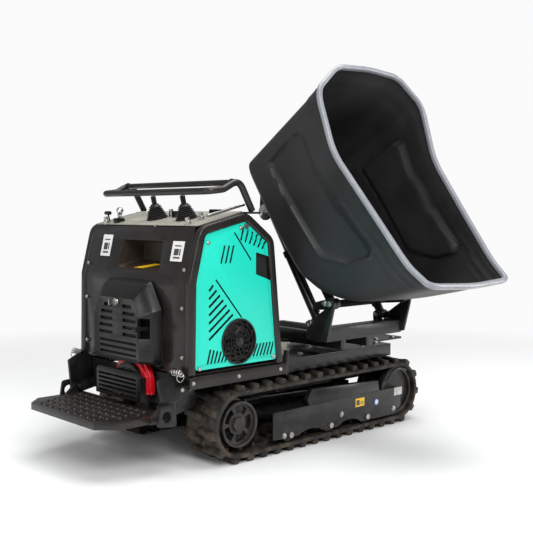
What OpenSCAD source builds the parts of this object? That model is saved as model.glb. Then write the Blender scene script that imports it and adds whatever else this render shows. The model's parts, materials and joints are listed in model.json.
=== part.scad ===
// Power wheelbarrow: a tracked mini dumper with a swivelling, tipping skip and a ride-on platform.
// X runs forward, Y to the machine's left and Z up. The origin is on the ground, under the swivel axis.
// It is modelled with the skip swivelled a quarter turn to the right and tipped right up.

/* [Tracks] */
// Overall width over both rubber tracks
track_span = 790; // [740:5:950]
// Width of one rubber track
track_w = 180; // [160:5:190]
// Distance from one tread lug to the next
track_pitch = 72; // [66:1:78]
// Number of lugs round one track
track_links = 37; // [35:1:41]
// Radius of the middle of the rubber band where it wraps a wheel
belt_r = 120; // [112:1:126]
// Thickness of the rubber band
belt_t = 16; // [12:1:20]
// Height of a tread lug
lug_h = 20; // [12:1:24]
// Height of a guide lug inside the band
guide_h = 18; // [12:1:20]
// Middle of the tracks along X
track_mid_x = -144; // [-170:1:-120]
// Radius of a track roller
roller_r = 30; // [24:1:32]

/* [Cabinet] */
// Rear face of the cabinet along X
cab_rear_x = -850; // [-900:1:-830]
// Width over the two bent side frames
cab_w = 738; // [700:2:780]
// Width of a side frame's tube
side_tube_w = 34; // [28:1:40]
// Depth of a side frame's tube, seen from the side
side_tube_d = 32; // [26:1:38]
// Thickness of the sheet panels
sheet_t = 3; // [2:0.5:4]
// Height of the side frame's highest bend
cab_top_z = 955; // [900:1:1000]
// Radius of the cooling fan's guard
fan_guard_r = 88; // [70:1:95]

/* [Deck] */
// Height of the deck's top face
deck_z = 360; // [355:1:380]
// Thickness of the deck plate
deck_t = 8; // [6:1:10]
// Width of the deck plate
deck_w = 690; // [660:2:700]
// Front edge of the full width deck
deck_front_x = 328; // [300:1:360]
// Front edge of the narrow tongue
tongue_front_x = 549; // [520:1:580]
// Width of the narrow tongue
tongue_w = 488; // [440:2:520]
// Radius of the tongue's bolt holes
tongue_hole_r = 6.5; // [5:0.5:8]
// Distance between the tongue's bolt holes along X
tongue_pitch_x = 120; // [100:5:140]
// Distance between the tongue's bolt holes along Y
tongue_pitch_y = 360; // [320:5:400]

/* [Platform] */
// Height of the platform's top face when it is down
platform_z = 214; // [205:1:230]
// Length of the platform along X
platform_l = 270; // [220:1:300]
// Width of the platform
platform_w = 570; // [500:2:600]
// Length cut off each rear corner
platform_cut = 62; // [40:1:80]

/* [Handrail] */
// Diameter of the handrail tube
rail_d = 26; // [22:1:32]
// Height of the rear bar's middle
rail_z = 1027; // [1010:1:1060]

/* [Swivel and tip] */
// Height of the tipping axis
tip_z = 590; // [584:1:600]
// Distance of the tipping axis from the swivel axis
tip_out = 496; // [490:1:506]
// Tipping angle of the modelled pose
tip_angle = 55; // [50:1:60]
// Radius of the slewing ring
slew_r = 150; // [130:1:160]
// Distance of each gusset's outer face from the middle of the turntable
gusset_out = 252; // [245:1:256]
// Thickness of a gusset plate
gusset_t = 12; // [8:1:13]
// Radius of the tipping pins
tip_pin_r = 12; // [9:1:14]
// Distance of the cylinders' lower pins from the swivel axis
ram_out = 390; // [385:1:395]
// Height of the cylinders' lower pins
ram_z = 508; // [504:1:512]
// Outer radius of a cylinder barrel
barrel_r = 18.5; // [17:0.5:19]
// Radius of a cylinder rod
rod_r = 12; // [9:0.5:13]
// Length of a cylinder barrel from its lower pin
barrel_l = 330; // [310:1:335]
// Wall of the plastic skip
skip_t = 8; // [6:0.5:10]

/* [Hidden] */
fit = 0.05;
clear = 0.5;
eps = 1;

// ---- tracks ----
track_y = (track_span - track_w) / 2;
belt_in_r = belt_r - belt_t / 2;
hub_z = belt_r + belt_t / 2 + lug_h;
floor_in_z = hub_z - belt_in_r;
wheel_base = (track_pitch * track_links - 2 * PI * belt_r) / 2;
rear_x = track_mid_x - wheel_base / 2;
front_x = track_mid_x + wheel_base / 2;
arc_l = PI * belt_r;
lug_w = 0.34 * track_pitch;
guide_near = 20;
guide_far = 38;
wheel_r = belt_in_r - clear;
roller_z = floor_in_z + roller_r + clear / 2;
roller_x = [for (i = [0:2]) rear_x + (0.27 + 0.247 * i) * wheel_base];
roller_axle_r = 9;
frame_plate_t = 6;
frame_out = track_w / 2 - 1;
frame_in = 83;
frame_rear_x = rear_x + 162;
frame_front_x = front_x + 8;
frame_top_z = hub_z + 19 + clear / 2;
frame_low_z = floor_in_z + 12;
axle_r = 18;
idler_axle_r = 16;

// ---- cabinet ----
deck_low_z = deck_z - deck_t;
frame_mid_y = cab_w / 2 - side_tube_w / 2;
panel_y = frame_mid_y + 6;
k_top = cab_top_z - 955;
cab_front_x = cab_rear_x + 473;
fan_x = cab_rear_x + 236;
fan_z = 463;
latch_x = cab_rear_x + 272;
latch_z = 898;
cab_inner_w = 2 * (frame_mid_y - side_tube_w / 2) - 1;

// ---- rear of the engine bay ----
shroud_out = 70;
shroud_low_z = 380;
recoil_y = -45;
recoil_z = 338;
recoil_r = 82;
choke_z = 516;
choke_x = cab_rear_x - 48;
grille_top_z = 298;

// ---- levers ----
console_tilt = atan(55 / 228);
right_lever = [cab_rear_x + 160, -152];
left_lever = [cab_rear_x + 160, 38];
throttle_at = [cab_rear_x + 100, cab_w / 2 - 69];
tip_lever_at = [throttle_at[0] + 10, throttle_at[1] - 85];
boot_r = 42;
boot_h = 58;

// ---- swivel and tip ----
ram_x = gusset_out - gusset_t - 36;
lug_out = 104;
lug_z = 954;
ram_l = norm([ram_out - lug_out, lug_z - ram_z]);
ram_pin_r = 10;
ram_eye_r = 19;
rod_low = 158;
ear_hole_r = 25;
ear_r = 36;
ear_in = ram_x + 22;
ear_t = 10;
beam_low_z = 432;
beam_high_z = 486;
tip_eye_r = 23;

// ---- helpers ----
// Extrudes an outline drawn in X and Z between two Y values
module along_y(y_low, y_high)
    translate([0, y_high, 0]) rotate([90, 0, 0]) linear_extrude(y_high - y_low) children();

// Extrudes an outline drawn in Y and Z between two X values
module along_x(x_low, x_high)
    translate([x_low, 0, 0]) rotate([90, 0, 90]) linear_extrude(x_high - x_low) children();

// A cylinder along Y between two Y values
module rod_y(x, z, r, y_low, y_high, fn = 48)
    translate([x, y_high, z]) rotate([90, 0, 0]) cylinder(r = r, h = y_high - y_low, $fn = fn);

// A cylinder along X between two X values
module rod_x(y, z, r, x_low, x_high, fn = 48)
    translate([x_low, y, z]) rotate([0, 90, 0]) cylinder(r = r, h = x_high - x_low, $fn = fn);

// A box from its lowest to its highest corner
module block(low, high) translate(low) cube(high - low);

// A square tube between two corners, open at its ends along X (along = 0) or Y (along = 1)
module beam(low, high, along, wall) difference() {
    end = along == 0 ? [eps, -wall, -wall] : [-wall, eps, -wall];
    block(low, high);
    block(low - end, high + end);
}

// Extrudes an outline drawn in Y and Z between two distances from the middle, on either side of it
module on_x(side, near, far) along_x(side > 0 ? near : -far, side > 0 ? far : -near) children();

// The same thing on the right (-1) or the left (1)
module on_side(side) if (side > 0) children(); else mirror([0, 1, 0]) children();

// A straight round bar between two points
module bar(a, b, r, fn = 32) {
    d = b - a;
    translate(a) rotate([0, acos(d[2] / norm(d)), atan2(d[1], d[0])])
        cylinder(r = r, h = norm(d), $fn = fn);
}

// The points of an outline with each corner rounded by cutting it back a distance
function rounded(pts, cut, n = 5) = [for (i = [0:len(pts) - 1])
    let (p = pts[i], a = pts[(i + len(pts) - 1) % len(pts)], b = pts[(i + 1) % len(pts)],
        start = p + (a - p) / norm(a - p) * cut, end = p + (b - p) / norm(b - p) * cut)
    for (j = [0:n]) let (s = j / n) (1 - s) * (1 - s) * start + 2 * s * (1 - s) * p + s * s * end];

// The side frame's outline down to a height; its last two edges lean in as they rise
function cab_shape(low) = [[cab_rear_x - (697 - low) * 0.015 + 5, low], [cab_rear_x + 5, 697],
    [cab_rear_x + 54, 900 + k_top], [cab_rear_x + 282, cab_top_z], [cab_rear_x + 422, 854 + k_top],
    [cab_front_x + (deck_z - low) * 0.1, low]];

// An outline moved inward by a distance, for outlines listed clockwise in X and Z
function inset(pts, d) = [for (i = [0:len(pts) - 1])
    let (p = pts[i], a = pts[(i + len(pts) - 1) % len(pts)], b = pts[(i + 1) % len(pts)],
        u = (p - a) / norm(p - a), v = (b - p) / norm(b - p),
        nu = [u[1], -u[0]], nv = [v[1], -v[0]], m = (nu + nv) / norm(nu + nv))
    p + m * d / (m * nu)];

// ---- rubber tracks ----
// Point on a track's loop: s along the middle of the band, h outward from it
function loop_point(s, h) =
    s < wheel_base ? [rear_x + s, hub_z - belt_r - h] :
    s < wheel_base + arc_l ? let (a = (s - wheel_base) / belt_r * 180 / PI - 90)
        [front_x, hub_z] + (belt_r + h) * [cos(a), sin(a)] :
    s < 2 * wheel_base + arc_l ? [front_x - (s - wheel_base - arc_l), hub_z + belt_r + h] :
    let (a = (s - 2 * wheel_base - arc_l) / belt_r * 180 / PI + 90)
        [rear_x, hub_z] + (belt_r + h) * [cos(a), sin(a)];

function on_loop(s) = let (loop = track_pitch * track_links) s - loop * floor(s / loop);

// Outer outline of the band with its lugs, shifted along the loop by a share of the pitch
function tread_outline(shift) = let (band = belt_t / 2, top = band + lug_h, w = lug_w)
    [for (i = [0:track_links - 1]) for (q = [[0, band], [0.2 * track_pitch, band],
        [0.5 * track_pitch - w / 2 - 3, band], [0.5 * track_pitch - w / 2, top],
        [0.5 * track_pitch + w / 2, top], [0.5 * track_pitch + w / 2 + 3, band],
        [0.8 * track_pitch, band]])
        loop_point(on_loop((i + shift) * track_pitch + q[0]), q[1])];

function band_inside() = [for (i = [0:track_links * 4 - 1])
    loop_point(on_loop(i * track_pitch / 4), -belt_t / 2)];

module tread_slice(shift, y_low, y_high) along_y(y_low, y_high) difference() {
    polygon(tread_outline(shift));
    polygon(band_inside());
}

module guide_row(y_low, y_high) along_y(y_low, y_high)
    for (i = [0:track_links - 1]) let (s = (i + 0.5) * track_pitch)
        polygon([loop_point(on_loop(s - 11), 1 - belt_t / 2),
            loop_point(on_loop(s - 8), -belt_t / 2 - guide_h),
            loop_point(on_loop(s + 8), -belt_t / 2 - guide_h),
            loop_point(on_loop(s + 11), 1 - belt_t / 2)]);

module track_belt(side) color([0.09, 0.09, 0.09]) on_side(side) {
    tread_slice(0, track_y, track_y + track_w / 2);
    tread_slice(0.5, track_y - track_w / 2, track_y);
    guide_row(track_y + guide_near, track_y + guide_far);
    guide_row(track_y - guide_far, track_y - guide_near);
}

module track_frame(side) color([0.07, 0.07, 0.08]) on_side(side) difference() {
    union() {
        along_y(track_y + frame_in, track_y + frame_out) difference() {
            polygon(rounded([[frame_rear_x, frame_low_z + 10], [frame_rear_x, frame_top_z],
                [frame_front_x, frame_top_z], [frame_front_x, frame_low_z + 30],
                [frame_front_x - 70, frame_low_z]], 8, 3));
            for (i = [0, 1]) translate([(roller_x[i] + roller_x[i + 1]) / 2, frame_low_z - 8])
                scale([1, 0.42]) circle(r = 78, $fn = 48);
        }
        along_y(track_y - frame_out, track_y - frame_in)
            polygon([[rear_x - 62, hub_z - 50], [rear_x - 62, hub_z + 50], [frame_rear_x, hub_z + 50],
                [frame_front_x, frame_top_z], [frame_front_x, frame_low_z + 10],
                [frame_rear_x, frame_low_z + 10]]);
        block([frame_rear_x, track_y - frame_in - eps, frame_top_z - frame_plate_t],
            [front_x - wheel_r - 6, track_y + frame_in + eps, frame_top_z]);
    }
    for (x = roller_x) rod_y(x, roller_z, roller_axle_r + fit, track_y - 100, track_y + 100);
    rod_y(rear_x, hub_z, 40 + fit, track_y - 100, track_y - 60);
    block([front_x - 40, track_y - 100, hub_z - idler_axle_r - 2],
        [frame_front_x + 5, track_y + 100, hub_z + idler_axle_r + 2]);
}

// Skid plate that carries the track's upper run, and the cap over the idler
module track_guards() color([0.06, 0.06, 0.07]) for (side = [-1, 1]) on_side(side) {
    along_y(track_y + frame_in - 20, track_y + frame_out)
        polygon([[frame_rear_x + 195, frame_top_z + 26], [frame_rear_x + 222, frame_top_z + 66],
            [frame_front_x - 160, frame_top_z + 48], [frame_front_x - 150, frame_top_z],
            [frame_rear_x + 205, frame_top_z]]);
    along_y(track_y + frame_in, track_y + frame_out)
        polygon(concat([for (a = [150:-15:60]) [front_x, hub_z] + (belt_in_r - 6) * [cos(a), sin(a)]],
            [for (a = [60:15:150]) [front_x, hub_z] + (belt_in_r - 18) * [cos(a), sin(a)]]));
}

module idler_tensioners() color([0.12, 0.12, 0.13]) for (side = [-1, 1]) on_side(side) {
    for (dy = [-frame_out + 1, frame_in + 0.5])
        block([front_x - 38, track_y + dy, hub_z - idler_axle_r - 1.5],
            [front_x + idler_axle_r + 3, track_y + dy + 5, hub_z + idler_axle_r + 1.5]);
    rod_y(front_x, hub_z, idler_axle_r, track_y - frame_out + 2, track_y + frame_out - 3);
    rod_x(track_y, hub_z, 12, front_x - wheel_r - 190, front_x - wheel_r - 20);
}

module drive_motors() color([0.16, 0.16, 0.17]) for (side = [-1, 1]) on_side(side) {
    rod_y(rear_x, hub_z, 40, track_y - track_w / 2 - 55, track_y - 62);
    rod_y(rear_x, hub_z, 58, track_y - track_w / 2 - 20, track_y - track_w / 2 - 2);
    rod_y(rear_x, hub_z, axle_r, track_y - 63, track_y + 61.3);
}

// Drive sprocket: a toothed disc between the guide lugs and a spoked wheel outside them
module sprocket(side) {
    teeth = 10;
    color([0.13, 0.13, 0.13]) on_side(side) difference() {
        union() {
            rod_y(rear_x, hub_z, wheel_r - 16, track_y - 14, track_y + 14, 60);
            for (i = [0:teeth - 1]) translate([rear_x, track_y, hub_z]) rotate([0, i * 360 / teeth, 0])
                along_y(-12, 12) polygon([[60, -15], [wheel_r - 1, -7], [wheel_r - 1, 7], [60, 15]]);
            rod_y(rear_x, hub_z, 88, track_y + guide_far + 4, track_y + 78, 72);
            rod_y(rear_x, hub_z, 40, track_y - 40, track_y + guide_far + 5);
        }
        rod_y(rear_x, hub_z, 78, track_y + 62, track_y + 80, 72);
        rod_y(rear_x, hub_z, axle_r + fit, track_y - 60, track_y + 80);
        for (i = [0:4]) translate([rear_x, track_y, hub_z]) rotate([0, i * 72, 0])
            along_y(guide_far, 80) intersection() {
                difference() {
                    circle(r = 70, $fn = 64);
                    circle(r = 42, $fn = 48);
                }
                polygon([[20, -16], [90, -40], [90, 40], [20, 16]]);
            }
    }
    color([0.35, 0.35, 0.36]) on_side(side)
        rod_y(rear_x, hub_z, 30, track_y + 61.5, track_y + 61.5 + 12, 6);
}

module idler(side) color([0.12, 0.12, 0.12]) on_side(side) difference() {
    union() {
        for (dy = [guide_far + 5, -guide_far - 35])
            rod_y(front_x, hub_z, wheel_r, track_y + dy, track_y + dy + 30, 72);
        rod_y(front_x, hub_z, 50, track_y - guide_far - 6, track_y + guide_far + 6);
    }
    for (dy = [guide_far + 17, -guide_far - 80])
        rod_y(front_x, hub_z, wheel_r - 20, track_y + dy, track_y + dy + 63, 72);
    rod_y(front_x, hub_z, idler_axle_r + fit, track_y - 90, track_y + 90);
}

module roller(side, i) color([0.15, 0.15, 0.15]) on_side(side) difference() {
    union() {
        for (dy = [guide_far + 6, -guide_far - 36])
            rod_y(roller_x[i], roller_z, roller_r, track_y + dy, track_y + dy + 30);
        rod_y(roller_x[i], roller_z, 10.5, track_y - 72, track_y + 72);
    }
    rod_y(roller_x[i], roller_z, 6 + fit, track_y - 80, track_y + 80);
}

// Roller axles with their heads, the frame bolts and the deck bolts
module frame_bolts() color([0.3, 0.3, 0.31]) for (side = [-1, 1]) on_side(side) for (x = roller_x) {
    rod_y(x, roller_z, 6, track_y - frame_in, track_y + frame_in);
    rod_y(x, roller_z, roller_axle_r, track_y + frame_in - 0.5, track_y + frame_out + 2.5);
    rod_y(x, roller_z, roller_axle_r, track_y - frame_out - 2.5, track_y - frame_in + 0.5);
    rod_y(x, roller_z, 13, track_y + frame_out, track_y + frame_out + 7, 6);
}

// ---- chassis ----
module chassis_frame() color([0.08, 0.08, 0.08]) {
    beam_y = track_y - frame_out;
    beam_top_z = deck_low_z - 0.2;
    beam_bottom_z = hub_z + 42;
    for (y = [-190, 150])
        beam([cab_rear_x + 70, y, beam_bottom_z], [deck_front_x + 120, y + 40, beam_top_z], 0, 5);
    for (x = [rear_x + 320, rear_x + 720])
        beam([x, -beam_y, frame_low_z + 40], [x + 90, beam_y, beam_bottom_z + 1], 1, 6);
    for (x = [cab_rear_x + 110, -330, 240]) beam([x, -151, 250], [x + 60, 151, beam_top_z], 1, 5);
    for (x = [-170, 140]) beam([x, -151, 300], [x + 30, 151, beam_top_z], 1, 4);
    block([-141, -151, beam_top_z - 8], [141, 151, beam_top_z]);
}

module deck_plate() color([0.07, 0.07, 0.075]) difference() {
    union() {
        block([cab_rear_x + 14, -deck_w / 2, deck_low_z], [deck_front_x, deck_w / 2, deck_z]);
        translate([0, 0, deck_low_z]) linear_extrude(deck_t) polygon(rounded([
            [deck_front_x - 20, -tongue_w / 2], [tongue_front_x, -tongue_w / 2],
            [tongue_front_x, tongue_w / 2], [deck_front_x - 20, tongue_w / 2]], 19, 4));
        for (y = [-deck_w / 2, deck_w / 2 - 6])
            block([cab_front_x + 29, y, deck_z - 54], [deck_front_x, y + 6, deck_z - 2]);
        for (y = [[-deck_w / 2, -192], [-148, 148], [192, deck_w / 2]])
            block([deck_front_x - 6, y[0], deck_z - 40], [deck_front_x, y[1], deck_z - 2]);
    }
    for (x = [-0.5, 0.5]) for (y = [-0.5, 0.5])
        translate([tongue_front_x - 70 + x * tongue_pitch_x - 40, y * tongue_pitch_y, deck_low_z - 5])
            cylinder(r = tongue_hole_r, h = deck_t + 10, $fn = 32);
}

// Channel rail under each side of the cabinet, with a hooked tab at its front end
module side_rails() color([0.08, 0.08, 0.08]) for (side = [-1, 1]) on_side(side) {
    y = deck_w / 2 + 14;
    difference() {
        block([cab_rear_x, y - 14, deck_low_z - 45], [cab_front_x + 24, y + 8, deck_low_z - clear]);
        block([cab_rear_x - 5, y - 20, deck_low_z - 39], [cab_front_x + 30, y + 2, deck_low_z - 6.5]);
    }
    along_y(y - 14, y + 8) polygon([[cab_front_x + 14, deck_low_z - 51], [cab_front_x + 28, deck_low_z - 51],
        [cab_front_x + 28, deck_low_z + 49], [cab_front_x + 20, deck_low_z + 49],
        [cab_front_x + 14, deck_low_z - clear]]);
}

// Plates behind the cabinet that carry the platform's hinge and the tie-down eyes
module rear_carrier() {
    hinge_x = cab_rear_x - 62;
    color([0.08, 0.08, 0.085]) {
        block([cab_rear_x - 2, -300, 230], [cab_rear_x + 69, 300, 262]);
        for (y = [-312, 300]) along_y(y, y + 12) difference() {
            polygon([[cab_rear_x + 70, 230], [hinge_x - 26, 200], [hinge_x - 30, 262],
                [cab_rear_x - 100, 345], [cab_rear_x - 24, 384], [cab_rear_x + 70, deck_low_z - 70]]);
            translate([hinge_x, 236]) circle(r = 11 + fit, $fn = 32);
        }
        for (y = [-340, 330]) difference() {
            along_y(y, y + 10) polygon(rounded([[cab_rear_x - 124, 186], [cab_rear_x - 112, 258],
                [cab_rear_x - 44, 262], [cab_rear_x - 40, 176]], 12, 4));
            rod_y(cab_rear_x - 84, 218, 20, y - 5, y + 15);
        }
        for (y = [-331, 311]) block([cab_rear_x - 75, y, 240], [cab_rear_x - 50, y + 20, 256]);
    }
    color([0.55, 0.55, 0.56]) {
        rod_y(hinge_x, 236, 11, -322, -262);
        rod_y(hinge_x, 236, 11, 262, 322);
        for (y = [-330, 322]) rod_y(cab_rear_x - 34, 372, 7, y - 8, y + 16);
    }
}

// ---- cabinet ----
module side_frame(side) color([0.2, 0.18, 0.17]) on_side(side)
    along_y(frame_mid_y - side_tube_w / 2, frame_mid_y + side_tube_w / 2) difference() {
        polygon(rounded(cab_shape(deck_z + 0.3), 26, 5));
        polygon(rounded(inset(cab_shape(deck_z - 90), side_tube_d), 14, 4));
    }

// One straight slot through a side panel
module slot(a, b, w) {
    d = b - a;
    translate(a) rotate(atan2(d[1], d[0])) translate([-w / 2, -w / 2]) square([norm(d) + w, w]);
}

module side_panel(side) color([0.03, 0.83, 0.72]) on_side(side) along_y(panel_y, panel_y + sheet_t)
    difference() {
        polygon(rounded(inset(cab_shape(deck_z - 20), side_tube_d + 1), 14, 4));
        translate([fan_x, fan_z]) circle(r = fan_guard_r - 8, $fn = 72);
        translate([latch_x, latch_z]) circle(r = 7, $fn = 32);
        polygon([for (p = [[327, 713], [327, 798], [412, 776], [418, 682]]) [cab_rear_x + p[0], p[1]]]);
        translate([cab_rear_x, 0]) {
            for (i = [0:2]) slot([169 + 22 * i, 822], [153 + 22 * i, 764], 5);
            slot([219, 872], [300, 771], 5);
            slot([129, 699], [252, 555], 5);
            for (i = [0:5]) slot([262 + 25 * i, 890 - 9 * i], [240 + 26 * i, 868 - 10 * i], 7);
            for (i = [0:6]) slot([111 + 16 * i, 678 - 19 * i], [98, 664 - 30 * i], 6);
            for (i = [0:6]) slot([100 + 17 * i, 441 - 4 * i], [88 + 17 * i, 396], 6);
            for (i = [0:6]) slot([318 + 17 * i, 441], [298 + 18 * i, 400], 6);
        }
    }

module latch_knob(side) color([0.6, 0.6, 0.6]) on_side(side) {
    rod_y(latch_x, latch_z, 7 - fit, panel_y - 4, panel_y + sheet_t + 1, 32);
    rod_y(latch_x, latch_z, 11, panel_y + sheet_t + 0.3, panel_y + sheet_t + 7);
    block([latch_x - 10, panel_y + sheet_t + 6, latch_z - 3],
        [latch_x + 10, panel_y + sheet_t + 13, latch_z + 3]);
}

// Upper rear panel: the tilted sheet between the side frames, with its window
module rear_panel() color([0.2, 0.19, 0.18]) difference() {
    along_y(-cab_inner_w / 2, cab_inner_w / 2) polygon([
        [cab_rear_x + 6, deck_z + 1], [cab_rear_x + 8, 697], [cab_rear_x + 57, 897 + k_top],
        [cab_rear_x + 60, 893 + k_top], [cab_rear_x + 12, 696], [cab_rear_x + 10, deck_z + 1]]);
    block([cab_rear_x - 20, -165, 728], [cab_rear_x + 80, 105, 852]);
    block([cab_rear_x - 20, -200, deck_z - 5], [cab_rear_x + 30, 200, 640]);
}

module rear_recess() color([0.13, 0.1, 0.08]) difference() {
    along_y(-178, 118) polygon([[cab_rear_x + 22, 715], [cab_rear_x + 56, 866],
        [cab_rear_x + 150, 866], [cab_rear_x + 150, 750], [cab_rear_x + 90, 715]]);
    along_y(-172, 112) polygon([[cab_rear_x + 10, 722], [cab_rear_x + 42, 858],
        [cab_rear_x + 144, 858], [cab_rear_x + 144, 756], [cab_rear_x + 86, 722]]);
}

function console_z(x) = 900 + k_top + (x - cab_rear_x - 54) * tan(console_tilt);

// Puts something drawn along +Z square on the sloping console
module on_console(p) translate([p[0], p[1], console_z(p[0])]) rotate([0, -console_tilt, 0]) children();

module console_top() color([0.6, 0.6, 0.58]) difference() {
    along_y(-cab_inner_w / 2, cab_inner_w / 2) polygon([
        [cab_rear_x + 62, console_z(cab_rear_x + 62) - 4], [cab_rear_x + 62, console_z(cab_rear_x + 62)],
        [cab_rear_x + 280, console_z(cab_rear_x + 280)], [cab_rear_x + 280, console_z(cab_rear_x + 280) - 4]]);
    for (p = [right_lever, left_lever])
        on_console(p) translate([0, 0, -20]) cylinder(r = 30, h = 40, $fn = 48);
    for (p = [tip_lever_at, throttle_at]) on_console(p) block([-26, -6, -20], [26, 6, 20]);
}

module front_cover() color([0.07, 0.07, 0.075]) difference() {
    along_y(-cab_inner_w / 2, cab_inner_w / 2) polygon([
        [cab_rear_x + 283, cab_top_z - 4], [cab_rear_x + 418, 852 + k_top],
        [cab_rear_x + 468, deck_z + 1], [cab_rear_x + 464, deck_z + 1],
        [cab_rear_x + 414, 849 + k_top], [cab_rear_x + 283, cab_top_z - 9]]);
    for (i = [0:7]) block([cab_front_x - 60, -120, 520 + 26 * i], [cab_front_x + 5, 120, 530 + 26 * i]);
}

// Bulging plastic shroud over the back of the engine: its outer form, or the hollow a wall inside it
module shroud_form(wall) {
    low = wall > 0 ? shroud_low_z - 20 : shroud_low_z;
    back = cab_rear_x - 0.8;
    hull() {
        along_x(back - 3, back + wall) polygon(shroud_outline(206 - wall, 585, 142, 690 - wall, low));
        along_x(back - shroud_out + wall, back - shroud_out + 10)
            polygon(shroud_outline(184 - wall, 572, 124, 640 - wall, low));
    }
}

function shroud_outline(half, shoulder, top_half, top, low) = [[-half, low], [-half, shoulder],
    [-top_half, top], [top_half, top], [half, shoulder], [half, low]];

module engine_shroud() color([0.06, 0.06, 0.065]) difference() {
    shroud_form(0);
    shroud_form(4);
    for (i = [0:4]) block([cab_rear_x - 90, -120, 400 + 14 * i], [cab_rear_x - 60, 120, 406 + 14 * i]);
    rod_x(5, 606, 10, cab_rear_x - 90, cab_rear_x - 60, 32);
    block([cab_rear_x - 90, -171, choke_z - 36], [cab_rear_x - 60, -159, choke_z + 36]);
}

module recoil_housing() {
    color([0.75, 0.03, 0.05]) difference() {
        hull() {
            rod_x(recoil_y, recoil_z, recoil_r, cab_rear_x - 46, cab_rear_x - 16, 32);
            rod_x(recoil_y, recoil_z, recoil_r - 18, cab_rear_x - 62, cab_rear_x - 46, 32);
        }
        block([cab_rear_x - 80, recoil_y - 100, recoil_z - 100],
            [cab_rear_x, recoil_y + 100, grille_top_z + 2]);
        for (i = [0:7]) translate([0, recoil_y, recoil_z]) rotate([i * 45 + 20, 0, 0])
            block([cab_rear_x - 70, -5, 44], [cab_rear_x - 50, 5, 60]);
    }
    color([0.05, 0.05, 0.05]) rod_x(recoil_y, recoil_z, 32, cab_rear_x - 76, cab_rear_x - 61.5);
}

module lower_grille() color([0.05, 0.05, 0.055]) difference() {
    block([cab_rear_x - 66, -165, grille_top_z - 62], [cab_rear_x - 3, 165, grille_top_z]);
    block([cab_rear_x - 60, -160, grille_top_z - 64], [cab_rear_x + 5, 160, grille_top_z - 5]);
    for (j = [0, 1]) for (i = [-4:4]) block([cab_rear_x - 70, i * 34 - 11, grille_top_z - 52 + 24 * j],
        [cab_rear_x - 55, i * 34 + 11, grille_top_z - 38 + 24 * j]);
}

module engine_block() {
    color([0.2, 0.2, 0.21]) {
        block([cab_rear_x + 14, -150, deck_z + 1], [cab_rear_x + 230, 90, 560]);
        block([cab_rear_x + 40, -190, 440], [cab_rear_x + 200, -149, 600]);
    }
    color([0.5, 0.5, 0.5]) for (i = [0:5])
        block([cab_rear_x + 50, -205, 455 + 22 * i], [cab_rear_x + 190, -148, 461 + 22 * i]);
}

module muffler() color([0.3, 0.28, 0.27]) {
    rod_y(cab_rear_x + 130, 652, 48, -150, 60);
    rod_y(cab_rear_x + 130, 652, 12, 60, 110);
}

module fuel_tank() color([0.05, 0.05, 0.05])
    block([cab_rear_x + 200, -100, 640], [cab_rear_x + 400, 170, 810]);

module hydraulic_tank() color([0.1, 0.1, 0.11]) {
    side_y = cab_w / 2 - 49;
    block([cab_rear_x + 270, 120, deck_z + 1], [cab_rear_x + 420, side_y, 620]);
    rod_y(cab_rear_x + 345, 560, 20, side_y, side_y + 4);
}

module hydraulic_pump() color([0.3, 0.3, 0.32]) {
    rod_x(-30, 450, 48, cab_rear_x + 231, cab_rear_x + 300);
    block([cab_rear_x + 300, -80, 400], [cab_rear_x + 400, 20, 500]);
}

module oil_cooler() color([0.25, 0.25, 0.26]) difference() {
    block([fan_x - 105, -(panel_y - 42), fan_z - 98], [fan_x + 105, -(panel_y - 72), fan_z + 98]);
    for (i = [0:8]) block([fan_x - 95, -(panel_y - 40), fan_z - 86 + 20 * i],
        [fan_x + 95, -(panel_y - 60), fan_z - 76 + 20 * i]);
}

// Ring guard in front of the fan, with its spokes and hub
module fan_guard() color([0.04, 0.04, 0.045]) on_side(-1) {
    y0 = panel_y + sheet_t + 0.2;
    difference() {
        rod_y(fan_x, fan_z, fan_guard_r, y0, y0 + 8, 96);
        for (k = [0:4]) difference() {
            rod_y(fan_x, fan_z, fan_guard_r - 6 - 12 * k, y0 - 1, y0 + 9, 72);
            rod_y(fan_x, fan_z, fan_guard_r - 14 - 12 * k, y0 - 2, y0 + 10, 72);
        }
    }
    for (i = [0:3]) translate([fan_x, y0, fan_z]) rotate([0, 45 * i + 20, 0])
        block([-fan_guard_r + 3, 0.5, -2.5], [fan_guard_r - 3, 5, 2.5]);
    rod_y(fan_x, fan_z, 6, panel_y - 34, y0 + 1);
}

module cooling_fan() color([0.08, 0.08, 0.08]) on_side(-1) {
    difference() {
        rod_y(fan_x, fan_z, 24, panel_y - 32, panel_y - 8);
        rod_y(fan_x, fan_z, 6.05, panel_y - 40, panel_y);
    }
    for (i = [0:6]) translate([fan_x, panel_y - 20, fan_z]) rotate([0, i * 360 / 7, 0])
        rotate([35, 0, 0]) block([22, -1.5, -11], [fan_guard_r - 18, 1.5, 11]);
}

// ---- controls ----
// Directions along a path, one for each of its points
function path_dirs(path) = let (n = len(path)) [for (i = [0:n - 1])
    let (d = path[min(i + 1, n - 1)] - path[max(i - 1, 0)]) d / norm(d)];

// Side directions that turn with the path and never twist
function path_sides(dirs, i = 0, side = [0, 0, 1]) = i == len(dirs) ? [] :
    let (v = side - (side * dirs[i]) * dirs[i], u = v / norm(v)) concat([u], path_sides(dirs, i + 1, u));

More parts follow.
